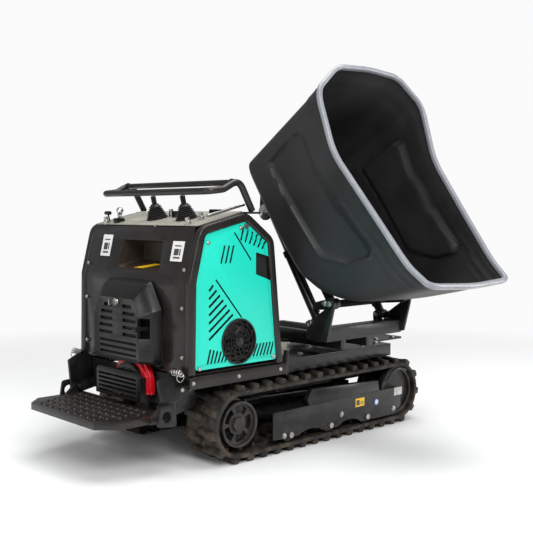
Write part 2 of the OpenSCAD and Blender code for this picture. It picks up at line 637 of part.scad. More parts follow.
// A round tube along a path
module tube(path, r, n = 16) {
    dirs = path_dirs(path);
    sides = path_sides(dirs);
    k = len(path);
    points = [for (i = [0:k - 1]) let (u = sides[i], v = cross(dirs[i], u)) for (j = [0:n - 1])
        path[i] + r * (cos(360 * j / n) * u + sin(360 * j / n) * v)];
    polyhedron(points = points, faces = concat([[for (j = [0:n - 1]) j]],
        [for (i = [0:k - 2]) for (j = [0:n - 1]) let (q = (j + 1) % n)
            [i * n + j, (i + 1) * n + j, (i + 1) * n + q, i * n + q]],
        [[for (j = [n - 1:-1:0]) (k - 1) * n + j]]), convexity = 6);
}

// An open path with its inner corners rounded by cutting them back
function bent(pts, cut, n = 6) = concat([pts[0]], [for (i = [1:len(pts) - 2])
    let (p = pts[i], a = pts[i - 1], b = pts[i + 1],
        start = p + (a - p) / norm(a - p) * cut, end = p + (b - p) / norm(b - p) * cut)
    for (j = [0:n]) let (s = j / n) (1 - s) * (1 - s) * start + 2 * s * (1 - s) * p + s * s * end],
    [pts[len(pts) - 1]]);

// One bent tube round the console, and the cross tube in front of it
module handrail() color([0.2, 0.17, 0.16]) {
    x = cab_rear_x;
    y = frame_mid_y;
    half = [[x + 107, 0, rail_z], [x + 107, y - 4, rail_z], [x + 175, y, rail_z + 8],
        [x + 250, y, rail_z + 46], [x + 318, y, cab_top_z - 3]];
    path = concat([for (i = [4:-1:1]) half[i]], [for (i = [1:4]) [half[i][0], -half[i][1], half[i][2]]]);
    tube(bent(path, 28), rail_d / 2);
    rod_y(x + 226, rail_z + 34, rail_d / 2 - 1.5, -y, y, 24);
}

// Folded rubber boots round the two drive levers
module lever_boots() color([0.05, 0.05, 0.05]) for (p = [right_lever, left_lever]) on_console(p) difference() {
    translate([0, 0, 0.3]) for (i = [0:6])
        translate([0, 0, 8 * i])
            cylinder(r1 = boot_r - 3.6 * i, r2 = boot_r - 8 - 3.6 * i, h = boot_h / 6, $fn = 48);
    translate([0, 0, -1]) cylinder(r1 = boot_r - 16, r2 = 11, h = boot_h, $fn = 48);
    translate([0, 0, 40]) cylinder(r = 11, h = 40, $fn = 48);
}

// Upright lever with a grip, on the console at p
module stick(p, low, high, r, grip_low, grip_r) on_console(p) {
    color([0.3, 0.3, 0.3]) translate([0, 0, low]) cylinder(r = r, h = high - low, $fn = 32);
    color([0.05, 0.05, 0.05]) translate([0, 0, grip_low]) cylinder(r = grip_r, h = high - grip_low + 6, $fn = 40);
}

module drive_lever(p) stick(p, -30, 90, 5, 68, 9);

module tip_lever() on_console(tip_lever_at) color([0.6, 0.6, 0.62]) {
    translate([0, 0, -30]) cylinder(r = 4, h = 70, $fn = 32);
    translate([0, 0, 48]) sphere(r = 15, $fn = 40);
}

module throttle_lever() on_console(throttle_at) color([0.1, 0.1, 0.1]) {
    translate([0, 0, -30]) cylinder(r = 3.5, h = 62, $fn = 32);
    rod_y(0, 36, 8, -16, 16);
}

module ignition_key() color([0.7, 0.7, 0.7]) {
    rod_x(5, 606, 9.5, cab_rear_x - 80, cab_rear_x - 64, 32);
    block([cab_rear_x - 100, 2, 594], [cab_rear_x - 79, 8, 618]);
}

module choke_lever() color([0.05, 0.05, 0.05]) {
    rod_y(choke_x, choke_z, 8, -175, -155, 32);
    block([choke_x - 44, -169, choke_z - 6], [choke_x, -161, choke_z + 6]);
    rod_y(choke_x - 46, choke_z, 10, -174, -156, 32);
}

// ---- platform ----
module platform() color([0.12, 0.11, 0.1]) {
    x1 = cab_rear_x - 42;
    x0 = x1 - platform_l;
    half = platform_w / 2;
    hinge_x = cab_rear_x - 62;
    outline = [[x0 + platform_cut, -half], [x0, platform_cut - half], [x0, half - platform_cut],
        [x0 + platform_cut, half], [x1, half], [x1, -half]];
    difference() {
        translate([0, 0, platform_z - 26]) linear_extrude(26) polygon(outline);
        translate([0, 0, platform_z - 30]) linear_extrude(26) polygon(inset(outline, 4));
        for (i = [0:5]) for (j = [-5:5]) let (x = x0 + 32 + 40 * i, y = 44 * j + (i % 2 == 0 ? 0 : 22))
            if (abs(y) < half - 36 - max(0, 60 - 40 * i) && x < x1 - 14)
                translate([x, y, platform_z - 10]) cylinder(r = 9, h = 20, $fn = 24);
    }
    for (s = [-1, 1]) on_side(s) {
        along_y(half + 1, half + 13) difference() {
            polygon([[hinge_x - 60, platform_z - 26], [hinge_x - 60, platform_z - 2], [hinge_x - 14, 250],
                [hinge_x + 14, 250], [hinge_x + 16, 224], [hinge_x, platform_z - 26]]);
            translate([hinge_x, 236]) circle(r = 11 + fit, $fn = 32);
        }
        block([hinge_x - 58, half - 3, platform_z - 24], [hinge_x - 12, half + 2, platform_z - 10]);
    }
}

// ---- swivel and tip ----
module slewing_ring() color([0.3, 0.3, 0.31]) difference() {
    translate([0, 0, deck_z]) cylinder(r = slew_r, h = 22, $fn = 96);
    translate([0, 0, deck_z - 1]) cylinder(r = slew_r - 60 + fit, h = 24, $fn = 96);
}

// Turntable: hub, arms, cross beam and the gussets that carry the skip
module turntable() {
    low = deck_z + 23;
    color([0.09, 0.09, 0.1]) {
        translate([0, 0, deck_z + 1]) difference() {
            cylinder(r = slew_r - 60, h = 24, $fn = 96);
            translate([0, 0, -1]) cylinder(r = 30, h = 30, $fn = 48);
        }
        difference() {
            union() {
                translate([0, 0, low]) cylinder(r = slew_r - 4, h = 12, $fn = 96);
                for (x = [-96, 66]) block([x, -420, low], [x + 30, 120, low + 60]);
            }
            translate([0, 0, low - 1]) cylinder(r = 30, h = 30, $fn = 48);
        }
        difference() {
            block([-gusset_out + gusset_t, -470, beam_low_z], [gusset_out - gusset_t, -400, beam_high_z]);
            block([-gusset_out + gusset_t - eps, -464, beam_low_z + 6],
                [gusset_out - gusset_t + eps, -406, beam_high_z - 6]);
        }
        for (s = [-1, 1]) difference() {
            on_x(s, gusset_out - gusset_t, gusset_out) {
                polygon([[-368, 440], [-374, 500], [-tip_out + 18, tip_z - 18],
                    [-tip_out - 20, tip_z - 16], [-482, 440], [-440, beam_low_z - 2]]);
                translate([-tip_out, tip_z]) circle(r = tip_eye_r, $fn = 48);
            }
            on_x(s, gusset_out - 30, gusset_out + 5) {
                translate([-tip_out, tip_z]) circle(r = tip_pin_r + fit, $fn = 48);
                translate([-ram_out, ram_z]) circle(r = ram_pin_r + fit, $fn = 48);
            }
        }
        for (s = [-1, 1]) on_x(s, ram_x - 38, ram_x - 28) difference() {
            union() {
                polygon([[-376, beam_high_z - 20], [-ram_out + 18, ram_z], [-ram_out - 18, ram_z],
                    [-436, beam_high_z - 20]]);
                translate([-ram_out, ram_z]) circle(r = 18, $fn = 48);
            }
            translate([-ram_out, ram_z]) circle(r = ram_pin_r + fit, $fn = 48);
        }
    }
}

module pivot_pins() color([0.6, 0.6, 0.6]) for (s = [-1, 1]) {
    on_x(s, gusset_out - gusset_t - 33, gusset_out + 8) translate([-tip_out, tip_z])
        circle(r = tip_pin_r, $fn = 48);
    on_x(s, ram_x - 41, gusset_out + 6) translate([-ram_out, ram_z]) circle(r = ram_pin_r, $fn = 48);
}

// Puts a cylinder drawn along +Z onto its rest line, its lower pin at the origin
module on_ram_line(s) translate([s * ram_x, -ram_out, ram_z])
    rotate([-atan2(ram_out - lug_out, lug_z - ram_z), 0, 0]) children();

module ram_barrels() color([0.05, 0.05, 0.055]) for (s = [-1, 1]) on_ram_line(s) difference() {
    union() {
        rotate([0, 90, 0]) cylinder(r = ram_eye_r, h = 44, center = true, $fn = 48);
        translate([0, 0, 14]) cylinder(r = barrel_r, h = barrel_l - 14, $fn = 64);
        translate([0, 0, barrel_l - 20]) cylinder(r = barrel_r + 3, h = 22, $fn = 64);
        translate([-s * (barrel_r + 8), 0, 40]) cylinder(r = 6, h = barrel_l - 60, $fn = 24);
        for (z = [45, barrel_l - 32]) translate([-s * (barrel_r + 3), 0, z]) cube([16, 12, 10], center = true);
    }
    rotate([0, 90, 0]) cylinder(r = ram_pin_r + fit, h = 60, center = true, $fn = 48);
    translate([0, 0, 40]) cylinder(r = rod_r + fit, h = barrel_l, $fn = 48);
}

module ram_rods() color([0.75, 0.75, 0.77]) for (s = [-1, 1]) on_ram_line(s) {
    translate([0, 0, rod_low]) cylinder(r = rod_r, h = ram_l - rod_low - 14, $fn = 48);
    translate([0, 0, ram_l]) {
        rotate([0, 90, 0]) cylinder(r = 18, h = 36, center = true, $fn = 48);
        rotate([0, s * 90, 0]) cylinder(r = ram_pin_r + 2, h = ear_in + ear_t - ram_x + 8, $fn = 48);
        rotate([0, s * 90, 0]) translate([0, 0, ear_in - ram_x + ear_t + 1]) cylinder(r = 32, h = 5, $fn = 48);
    }
}

// Moves something from the lowered frame, with its mouth level, to the tipped pose
module tipped() translate([0, -tip_out, tip_z]) rotate([tip_angle, 0, 0])
    translate([0, tip_out, -tip_z]) children();

// Where a Y and Z point of the tipped pose is in the lowered frame
function untipped(p) = let (a = p[0] + tip_out, b = p[1] - tip_z)
    [-tip_out + a * cos(tip_angle) + b * sin(tip_angle), tip_z - a * sin(tip_angle) + b * cos(tip_angle)];

// Corners of the skip round one half: lower corner, rim and the bend of the wall between them.
// Each is how far towards the mouth, half width and height, with the skip down.
skip_floor_z = 522;
skip_corners = [
    [[-262, 0, 526], [-298, 0, 1116], 0.13],
    [[-258, 205, 526], [-288, 192, 1110], 0.13],
    [[-225, 290, 526], [-182, 334, 1068], 0.13],
    [[60, 300, 526], [60, 324, 992], 0.13],
    [[330, 288, 534], [330, 299, 1004], 0.13],
    [[424, 262, 562], [585, 278, 1016], [566, 262, 750]],
    [[446, 225, 572], [694, 258, 1044], [602, 240, 752]],
    [[452, 0, 574], [710, 0, 1048], [612, 0, 752]]];

// Point up the wall at one corner, t from 0 on the floor to 1 at the rim
function wall_point(c, t) = let (low = c[0], rim = c[1],
    bend = is_list(c[2]) ? c[2] : low + (rim - low) * c[2],
    in_dir = [110 - low[0], -low[1], 0] / norm([110 - low[0], -low[1], 0]),
    start = [low[0] + 70 * in_dir[0], low[1] + 70 * in_dir[1], low[2] < 545 ? skip_floor_z : low[2] - 20],
    join = (low + bend) / 2)
    t < 0.4 ? let (s = t / 0.4) (1 - s) * (1 - s) * start + 2 * s * (1 - s) * low + s * s * join :
    let (s = (t - 0.4) / 0.6) (1 - s) * (1 - s) * join + 2 * s * (1 - s) * bend + s * s * rim;

function mirrored(p) = [p[0], -p[1], p[2]];

// One closed ring round the skip at height share t, its corners rounded
function skip_ring(t) = let (half = [for (c = skip_corners) wall_point(c, t)], k = len(half),
    full = concat(half, [for (i = [k - 2:-1:1]) mirrored(half[i])]), n = len(full))
    [for (i = [0:n - 1]) let (p = full[i], a = full[(i + n - 1) % n], b = full[(i + 1) % n],
        start = p + (a - p) * 0.22, end = p + (b - p) * 0.22)
        for (j = [0:3]) let (s = j / 3) (1 - s) * (1 - s) * start + 2 * s * (1 - s) * p + s * s * end];

function ring_middle(r) = [for (i = [0:2]) [for (p = r) p[i]] * [for (p = r) 1] / len(r)];

// A ring moved sideways from its middle, and up
function ring_grown(r, d, up) = let (m = ring_middle(r))
    [for (p = r) let (v = [p[0] - m[0], p[1] - m[1], 0]) p + v / norm(v) * d + [0, 0, up]];

// Places ring points in the model: the mouth points to the right of the machine
function placed(r) = [for (p = r) [-p[1], -p[0], p[2]]];

// A solid skinned over closed rings, from the first ring's cap to the last one's
module skin(rings) {
    n = len(rings[0]);
    k = len(rings);
    points = concat([for (r = rings) each placed(r)], placed([ring_middle(rings[0]), ring_middle(rings[k - 1])]));
    polyhedron(points = points, faces = concat(
        [for (i = [0:k - 2]) for (j = [0:n - 1]) let (q = (j + 1) % n) each [
            [i * n + j, (i + 1) * n + q, i * n + q], [i * n + j, (i + 1) * n + j, (i + 1) * n + q]]],
        [for (j = [0:n - 1]) [k * n, j, (j + 1) % n]],
        [for (j = [0:n - 1]) [k * n + 1, (k - 1) * n + (j + 1) % n, (k - 1) * n + j]]), convexity = 8);
}

wall_shares = [0, 0.16, 0.28, 0.4, 0.55, 0.7, 0.85, 1];

// The tub is one skin: up the outside, over the rim and back down the inside
module skip_tub() color([0.1, 0.1, 0.105]) tipped() skin(concat(
    [for (t = wall_shares) skip_ring(t)],
    [ring_grown(skip_ring(1), -skip_t, 0)],
    [for (i = [len(wall_shares) - 2:-1:0]) ring_grown(skip_ring(wall_shares[i]), -skip_t,
        skip_t * (1 - wall_shares[i]))]));

// Pale edge trim that grips the skip's rim
module skip_rim() color([0.78, 0.78, 0.8]) tipped() {
    edge = skip_ring(1);
    n = len(edge);
    rings = [ring_grown(edge, 9, -16), ring_grown(edge, 9, 8), ring_grown(edge, -skip_t - 6, 8),
        ring_grown(edge, -skip_t - 6, 0.5), ring_grown(edge, 0.5, 0.5), ring_grown(edge, 0.5, -16)];
    polyhedron(points = [for (r = rings) each placed(r)], faces = [for (i = [0:5]) for (j = [0:n - 1])
        let (q = (j + 1) % n, m = (i + 1) % 6) each [[i * n + j, m * n + q, i * n + q],
            [i * n + j, m * n + j, m * n + q]]], convexity = 10);
}

// Welded frame under the skip: two long bars, cross bars, pivot eyes and the cylinder ears
module tipping_frame() color([0.08, 0.08, 0.09]) tipped() {
    low = skip_floor_z - 26;
    high = skip_floor_z - 2;
    lug = untipped([-lug_out, lug_z]);
    for (x = [-150, 120]) block([x, -tip_out + 30, low], [x + 30, 110, high]);
    for (c = [[-tip_out + 26, gusset_out - gusset_t - 2], [-250, 150], [80, ear_in + ear_t]])
        block([-c[1], c[0], low], [c[1], c[0] + 24, high]);
    for (s = [-1, 1]) on_x(s, gusset_out - gusset_t - 32, gusset_out - gusset_t - 2) difference() {
        union() {
            translate([-tip_out, tip_z]) circle(r = tip_eye_r - 2, $fn = 48);
            polygon([[-tip_out - 20, tip_z - 12], [-tip_out + 24, tip_z], [-tip_out + 50, high],
                [-tip_out + 50, low], [-tip_out + 26, low]]);
        }
        translate([-tip_out, tip_z]) circle(r = tip_pin_r + fit, $fn = 48);
    }
    for (s = [-1, 1]) on_x(s, ear_in, ear_in + ear_t) difference() {
        union() {
            translate(lug) circle(r = ear_r, $fn = 64);
            polygon([lug + [10, -34], [104, low], [104, high], lug + [-20, 29]]);
        }
        translate(lug) circle(r = ear_hole_r, $fn = 64);
    }
}

chassis_frame();
deck_plate();
side_rails();
rear_carrier();
track_frame(-1);  // track_frame_right
track_frame(1);  // track_frame_left
track_guards();
track_belt(-1);  // track_belt_right
track_belt(1);  // track_belt_left
drive_motors();
idler_tensioners();
frame_bolts();
side_frame(-1);  // side_frame_right
side_frame(1);  // side_frame_left
side_panel(-1);  // side_panel_right
side_panel(1);  // side_panel_left
rear_panel();
rear_recess();
console_top();
front_cover();
engine_shroud();
lower_grille();
recoil_housing();
engine_block();
muffler();
fuel_tank();
hydraulic_tank();
hydraulic_pump();
oil_cooler();
fan_guard();
handrail();
lever_boots();
slewing_ring();
latch_knob(-1);  // latch_knob_right
latch_knob(1);  // latch_knob_left
cooling_fan();
ignition_key();
choke_lever();
drive_lever(right_lever);  // drive_lever_right
drive_lever(left_lever);  // drive_lever_left
tip_lever();
throttle_lever();
platform();
sprocket(-1);  // sprocket_right
sprocket(1);  // sprocket_left
idler(-1);  // idler_right
idler(1);  // idler_left
roller(-1, 0);  // roller_right_1
roller(-1, 1);  // roller_right_2
roller(-1, 2);  // roller_right_3
roller(1, 0);  // roller_left_1
roller(1, 1);  // roller_left_2
roller(1, 2);  // roller_left_3
turntable();
pivot_pins();
ram_barrels();
ram_rods();
tipping_frame();
skip_tub();
skip_rim();
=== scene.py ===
"""Visual model of a tracked mini dumper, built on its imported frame. Every length is in metres."""

import json
import math

import bmesh
import bpy
from bpy.props import FloatProperty, FloatVectorProperty, IntProperty, PointerProperty
from mathutils import Matrix, Vector

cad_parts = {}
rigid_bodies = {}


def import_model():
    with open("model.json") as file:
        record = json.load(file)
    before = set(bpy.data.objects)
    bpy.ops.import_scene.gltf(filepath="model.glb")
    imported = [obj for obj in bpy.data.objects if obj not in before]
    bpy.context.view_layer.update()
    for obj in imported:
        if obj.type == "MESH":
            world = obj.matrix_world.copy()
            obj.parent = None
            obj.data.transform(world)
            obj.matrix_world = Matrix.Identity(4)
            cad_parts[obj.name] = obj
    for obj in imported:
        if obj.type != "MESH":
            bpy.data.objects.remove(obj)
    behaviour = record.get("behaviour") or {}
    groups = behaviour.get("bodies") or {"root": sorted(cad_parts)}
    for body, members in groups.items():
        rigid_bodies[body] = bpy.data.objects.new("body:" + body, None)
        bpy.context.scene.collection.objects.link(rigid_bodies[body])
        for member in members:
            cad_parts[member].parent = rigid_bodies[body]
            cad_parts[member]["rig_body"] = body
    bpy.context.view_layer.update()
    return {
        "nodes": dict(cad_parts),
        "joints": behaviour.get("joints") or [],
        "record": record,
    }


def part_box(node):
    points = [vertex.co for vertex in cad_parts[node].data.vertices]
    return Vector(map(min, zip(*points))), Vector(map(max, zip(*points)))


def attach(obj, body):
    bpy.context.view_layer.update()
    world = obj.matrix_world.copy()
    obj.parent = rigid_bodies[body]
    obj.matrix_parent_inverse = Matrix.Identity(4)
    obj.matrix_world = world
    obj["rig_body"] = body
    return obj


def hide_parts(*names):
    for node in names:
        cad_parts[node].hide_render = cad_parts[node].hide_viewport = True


bl_info = {
    "name": "Mini Dumper",
    "version": (1, 0, 0),
    "blender": (4, 5, 0),
    "location": "3D View > Sidebar > Dumper",
    "description": "Builds the visible pieces of a tracked mini dumper",
    "category": "Object",
}

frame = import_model()
NODES = frame["nodes"]

# ---- places taken from the frame ----
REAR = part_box("side_panel_right")[0].x - 0.038
DECK_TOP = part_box("deck_plate")[1].z
PANEL_OUT = -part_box("side_panel_right")[0].y
FRAME_OUT = -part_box("side_frame_right")[0].y
FRAME_IN = -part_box("side_frame_right")[1].y
CONSOLE_SLOPE = 55 / 228
JOINTS = {joint["name"]: joint for joint in frame["joints"]}
TIP = JOINTS["tip"]
TIP_PIVOT = Vector(TIP["pos_m"])
TIP_ANGLE = math.radians(-TIP["range_deg"][0])
TRACK_Y = (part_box("track_belt_left")[0].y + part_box("track_belt_left")[1].y) / 2
SPROCKET_X = JOINTS["sprocket_spin_left"]["pos_m"][0]
IDLER_X, _, HUB_Z = JOINTS["idler_spin_left"]["pos_m"]
FRAME_PLATE_Y = -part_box("track_frame_right")[0].y
LINKS = 37
BELT_R = 0.120
BELT_T = 0.016
BELT_LENGTH = 2 * (IDLER_X - SPROCKET_X + math.pi * BELT_R)
LUG_H = 0.020


# ---- settings a user can change ----
class DumperColours(bpy.types.PropertyGroup):
    """Colours of the dumper's finishes"""
    teal: FloatVectorProperty(name="Side panels", description="Paint of the two side panels",
                              default=(0.004, 0.66, 0.50), subtype="COLOR", size=3, min=0, max=1)
    frame: FloatVectorProperty(name="Frames", description="Paint of the bent frames and the rail",
                               default=(0.016, 0.0135, 0.0125), subtype="COLOR", size=3, min=0, max=1)
    black: FloatVectorProperty(name="Chassis", description="Paint of the chassis and the track frames",
                               default=(0.0075, 0.0075, 0.008), subtype="COLOR", size=3, min=0, max=1)
    tub: FloatVectorProperty(name="Skip", description="Moulded plastic of the skip",
                             default=(0.0125, 0.0125, 0.0135), subtype="COLOR", size=3, min=0, max=1)
    trim: FloatVectorProperty(name="Skip trim", description="Edge trim round the skip's mouth",
                              default=(0.24, 0.25, 0.275), subtype="COLOR", size=3, min=0, max=1)
    rubber: FloatVectorProperty(name="Tracks", description="Rubber of the tracks",
                                default=(0.014, 0.0125, 0.011), subtype="COLOR", size=3, min=0, max=1)
    dust: FloatVectorProperty(name="Dust", description="Dry soil dust",
                              default=(0.13, 0.092, 0.060), subtype="COLOR", size=3, min=0, max=1)
    red: FloatVectorProperty(name="Starter housing", description="Plastic round the recoil starter",
                             default=(0.55, 0.004, 0.012), subtype="COLOR", size=3, min=0, max=1)
    console: FloatVectorProperty(name="Console", description="Paint of the sloping console",
                                 default=(0.33, 0.32, 0.27), subtype="COLOR", size=3, min=0, max=1)


class DumperSizes(bpy.types.PropertyGroup):
    """Sizes of the dumper's details"""
    edge: FloatProperty(name="Edge radius", description="Rounding of sheet and plate edges",
                        default=0.0016, unit="LENGTH", min=0.0002, max=0.004)
    wall: FloatProperty(name="Skip wall", description="Thickness of the skip's wall",
                        default=0.008, unit="LENGTH", min=0.005, max=0.012)
    emboss: FloatProperty(name="Emboss depth", description="Depth of the skip's moulded side panels",
                          default=0.0120, unit="LENGTH", min=0.001, max=0.012)
    rail: FloatProperty(name="Rail radius", description="Radius of the handrail tube",
                        default=0.0132, unit="LENGTH", min=0.01, max=0.018)
    folds: IntProperty(name="Boot folds", description="Number of folds in a lever boot",
                       default=7, min=4, max=10)


# ---- materials ----
def shader(name):
    """A new material with its shader node and an object coordinate."""
    material = bpy.data.materials.new(name)
    material.use_nodes = True
    tree = material.node_tree
    surface = tree.nodes["Principled BSDF"]
    place = tree.nodes.new("ShaderNodeTexCoord").outputs["Object"]
    return material, tree, surface, place


def noise(tree, place, size, detail=4.0, stretch=None):
    """Noise whose patches are about size across."""
    node = tree.nodes.new("ShaderNodeTexNoise")
    node.inputs["Scale"].default_value = 1 / size
    node.inputs["Detail"].default_value = detail
    if stretch:
        mapping = tree.nodes.new("ShaderNodeMapping")
        mapping.inputs["Scale"].default_value = stretch
        tree.links.new(place, mapping.inputs["Vector"])
        place = mapping.outputs["Vector"]
    tree.links.new(place, node.inputs["Vector"])
    return node.outputs["Fac"]


def ranged(tree, value, low, high, to_low, to_high):
    node = tree.nodes.new("ShaderNodeMapRange")
    node.inputs["From Min"].default_value = low
    node.inputs["From Max"].default_value = high
    node.inputs["To Min"].default_value = to_low
    node.inputs["To Max"].default_value = to_high
    tree.links.new(value, node.inputs["Value"])
    return node.outputs["Result"]


def times(tree, a, b):
    node = tree.nodes.new("ShaderNodeMath")
    node.operation = "MULTIPLY"
    tree.links.new(a, node.inputs[0])
    tree.links.new(b, node.inputs[1])
    return node.outputs[0]


def mixed(tree, share, a, b):
    """Colour a turning into colour b as share goes to 1."""
    node = tree.nodes.new("ShaderNodeMix")
    node.data_type = "RGBA"
    tree.links.new(share, node.inputs["Factor"])
    for socket, colour in ((node.inputs["A"], a), (node.inputs["B"], b)):
        if isinstance(colour, bpy.types.NodeSocket):
            tree.links.new(colour, socket)
        else:
            socket.default_value = (*colour, 1)
    return node.outputs["Result"]


def bumped(tree, surface, height, distance, strength=0.6):
    node = tree.nodes.new("ShaderNodeBump")
    node.inputs["Distance"].default_value = distance
    node.inputs["Strength"].default_value = strength
    tree.links.new(height, node.inputs["Height"])
    tree.links.new(node.outputs["Normal"], surface.inputs["Normal"])


def shaded(colour, factor):
    return tuple(min(1, c * factor) for c in colour)


def finish_material(name, colour, rough, grain, depth, metallic=0.0, coat=0.0, patch=0.12, vary=0.25,
                    dust=None, dust_top=0.0, dust_most=0.5, specular=0.5):
    """A surface with patchy colour and gloss, a fine grain, and dust that thins out upwards."""
    material, tree, surface, place = shader(name)
    patches = noise(tree, place, patch)
    tint = mixed(tree, ranged(tree, patches, 0.35, 0.65, 0, 1),
                 shaded(colour, 1 - vary), shaded(colour, 1 + vary))
    if dust:
        height = tree.nodes.new("ShaderNodeSeparateXYZ")
        tree.links.new(place, height.inputs[0])
        low = ranged(tree, height.outputs["Z"], 0.0, dust_top, dust_most, 0.0)
        speckle = ranged(tree, noise(tree, place, 0.035, 8), 0.42, 0.72, 0, 1)
        tint = mixed(tree, times(tree, low, speckle), tint, dust)
    tree.links.new(tint, surface.inputs["Base Color"])
    gloss = noise(tree, place, patch * 0.4, 6)
    tree.links.new(ranged(tree, gloss, 0.3, 0.7, rough - 0.06, rough + 0.08), surface.inputs["Roughness"])
    surface.inputs["Metallic"].default_value = metallic
    surface.inputs["Coat Weight"].default_value = coat
    surface.inputs["Coat Roughness"].default_value = 0.15
    surface.inputs["Specular IOR Level"].default_value = specular
    bumped(tree, surface, noise(tree, place, grain, 3), depth)
    return material


MATERIALS = {}


def make_materials(colours):
    dust = tuple(colours.dust)
    black = tuple(colours.black)
    MATERIALS.update({
        "frame_paint": finish_material("frame_paint", tuple(colours.frame), 0.30, 0.0012, 0.00010, coat=0.15,
                                       dust=dust, dust_top=0.6, dust_most=0.08, specular=0.3),
        "teal_paint": finish_material("teal_paint", tuple(colours.teal), 0.42, 0.0016, 0.00008, vary=0.03,
                                      patch=0.4, coat=0.1),
        "black_paint": finish_material("black_paint", black, 0.30, 0.0012, 0.00012, coat=0.12,
                                       dust=dust, dust_top=0.6, dust_most=0.16, specular=0.3),
        "cast_black": finish_material("cast_black", shaded(black, 1.1), 0.5, 0.0022, 0.0004,
                                      dust=dust, dust_top=0.5, dust_most=0.4),
        "steel": finish_material("steel", (0.42, 0.41, 0.39), 0.34, 0.0008, 0.00006, metallic=1.0, vary=0.18,
                                 patch=0.02),
        "chrome_rod": finish_material("chrome_rod", (0.62, 0.62, 0.64), 0.16, 0.0006, 0.00002, metallic=1.0,
                                      vary=0.06),
        "track_rubber": finish_material("track_rubber", tuple(colours.rubber), 0.66, 0.0022, 0.0004, vary=0.3,
                                        patch=0.05, dust=dust, dust_top=0.75, dust_most=0.62, specular=0.35),
        "boot_rubber": finish_material("boot_rubber", (0.012, 0.012, 0.013), 0.5, 0.0012, 0.0001, vary=0.2,
                                       patch=0.03),
        "tub_plastic": tub_plastic(tuple(colours.tub)),
        "rim_plastic": finish_material("rim_plastic", tuple(colours.trim), 0.3, 0.0012, 0.00008, vary=0.08,
                                       coat=0.3),
        "black_plastic": finish_material("black_plastic", (0.0070, 0.0065, 0.0062), 0.33, 0.0009, 0.00012,
                                         vary=0.2, dust=dust, dust_top=0.8, dust_most=0.05, specular=0.35),
        "brown_plastic": finish_material("brown_plastic", (0.030, 0.018, 0.010), 0.45, 0.0012, 0.0002,
                                         vary=0.3),
        "red_plastic": finish_material("red_plastic", tuple(colours.red), 0.3, 0.0016, 0.00006, vary=0.1,
                                       coat=0.3),
        "console_paint": finish_material("console_paint", tuple(colours.console), 0.45, 0.0014, 0.0001,
                                         vary=0.12),
        "engine_metal": finish_material("engine_metal", (0.16, 0.155, 0.15), 0.5, 0.0018, 0.0003,
                                        metallic=0.7, vary=0.25),
        "label_yellow": finish_material("label_yellow", (0.86, 0.50, 0.01), 0.4, 0.002, 0.00003, vary=0.04),
        "label_white": finish_material("label_white", (0.72, 0.72, 0.70), 0.4, 0.002, 0.00003, vary=0.04),
        "label_ink": finish_material("label_ink", (0.05, 0.05, 0.055), 0.45, 0.002, 0.00003, vary=0.1),
        "label_blue": finish_material("label_blue", (0.05, 0.12, 0.5), 0.4, 0.002, 0.00003, vary=0.05),
        # Near black matte finish for the sheets set behind slots: painted shade of the dark inside of the
        # cabinet and the hood
        "painted_shade_black": finish_material("painted_shade_black", (0.006, 0.006, 0.006), 0.7, 0.003, 0.0003, vary=0.2),
    })


def tub_plastic(colour):
    """Rotation moulded plastic: a fine leathery grain, faint cloudy patches and dry scuffs."""
    material, tree, surface, place = shader("tub_plastic")
    clouds = noise(tree, place, 0.22, 6)
    tint = mixed(tree, ranged(tree, clouds, 0.35, 0.7, 0, 1), shaded(colour, 0.75), shaded(colour, 1.45))
    scuffs = noise(tree, place, 0.03, 8, stretch=(0.35, 1.0, 2.6))
    tint = mixed(tree, ranged(tree, scuffs, 0.62, 0.8, 0, 0.35), tint, shaded(colour, 4.0))
    tree.links.new(tint, surface.inputs["Base Color"])
    tree.links.new(ranged(tree, clouds, 0.3, 0.7, 0.46, 0.60), surface.inputs["Roughness"])
    bumped(tree, surface, noise(tree, place, 0.0016, 3), 0.00035)
    return material


# ---- mesh helpers ----
def new_object(name, verts, faces, material):
    mesh = bpy.data.meshes.new(name)
    mesh.from_pydata([tuple(v) for v in verts], [], faces)
    mesh.validate()
    obj = bpy.data.objects.new(name, mesh)
    bpy.context.scene.collection.objects.link(obj)
    obj.data.materials.append(MATERIALS[material])
    return obj


def ring_faces(first, second, n):
    """Quads between two rings of n points, by the number of each ring's first point."""
    return [(first + k, first + (k + 1) % n, second + (k + 1) % n, second + k) for k in range(n)]


def circle(radius, n):
    """Points of a circle as pairs, from its first axis round."""
    turns = [2 * math.pi * k / n for k in range(n)]
    return [(radius * math.cos(a), radius * math.sin(a)) for a in turns]


def side_name(side):
    return "left" if side > 0 else "right"


def outward(obj):
    """Closed shells get their faces turned outwards."""
    bm = bmesh.new()
    bm.from_mesh(obj.data)
    bmesh.ops.remove_doubles(bm, verts=bm.verts, dist=1e-6)
    bmesh.ops.recalc_face_normals(bm, faces=bm.faces)
    bm.to_mesh(obj.data)
    bm.free()
    return obj


def bevelled(obj, width, segments=2, angle=30):
    modifier = obj.modifiers.new("edges", "BEVEL")
    modifier.width = width
    modifier.segments = segments
    modifier.limit_method = "ANGLE"
    modifier.angle_limit = math.radians(angle)
    return applied(obj)


def applied(obj):
    """The object with its modifiers made into a plain mesh."""
    bpy.context.view_layer.update()
    graph = bpy.context.evaluated_depsgraph_get()
    mesh = bpy.data.meshes.new_from_object(obj.evaluated_get(graph))
    obj.modifiers.clear()
    obj.data = mesh
    return obj


def walled(obj, thickness):
    """A sheet of the object's shape, half its thickness to each side."""
    modifier = obj.modifiers.new("wall", "SOLIDIFY")
    modifier.thickness = thickness
    modifier.offset = 0
    return outward(applied(obj))


def seated(obj, body, slot, *nodes, angle=38):
    """Smooths the piece, lets it ride on its body and stand for its CAD nodes."""
    obj.data.shade_smooth()
    obj.data.set_sharp_from_angle(angle=math.radians(angle))
    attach(obj, body)
    if nodes:
        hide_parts(*nodes)
    return obj


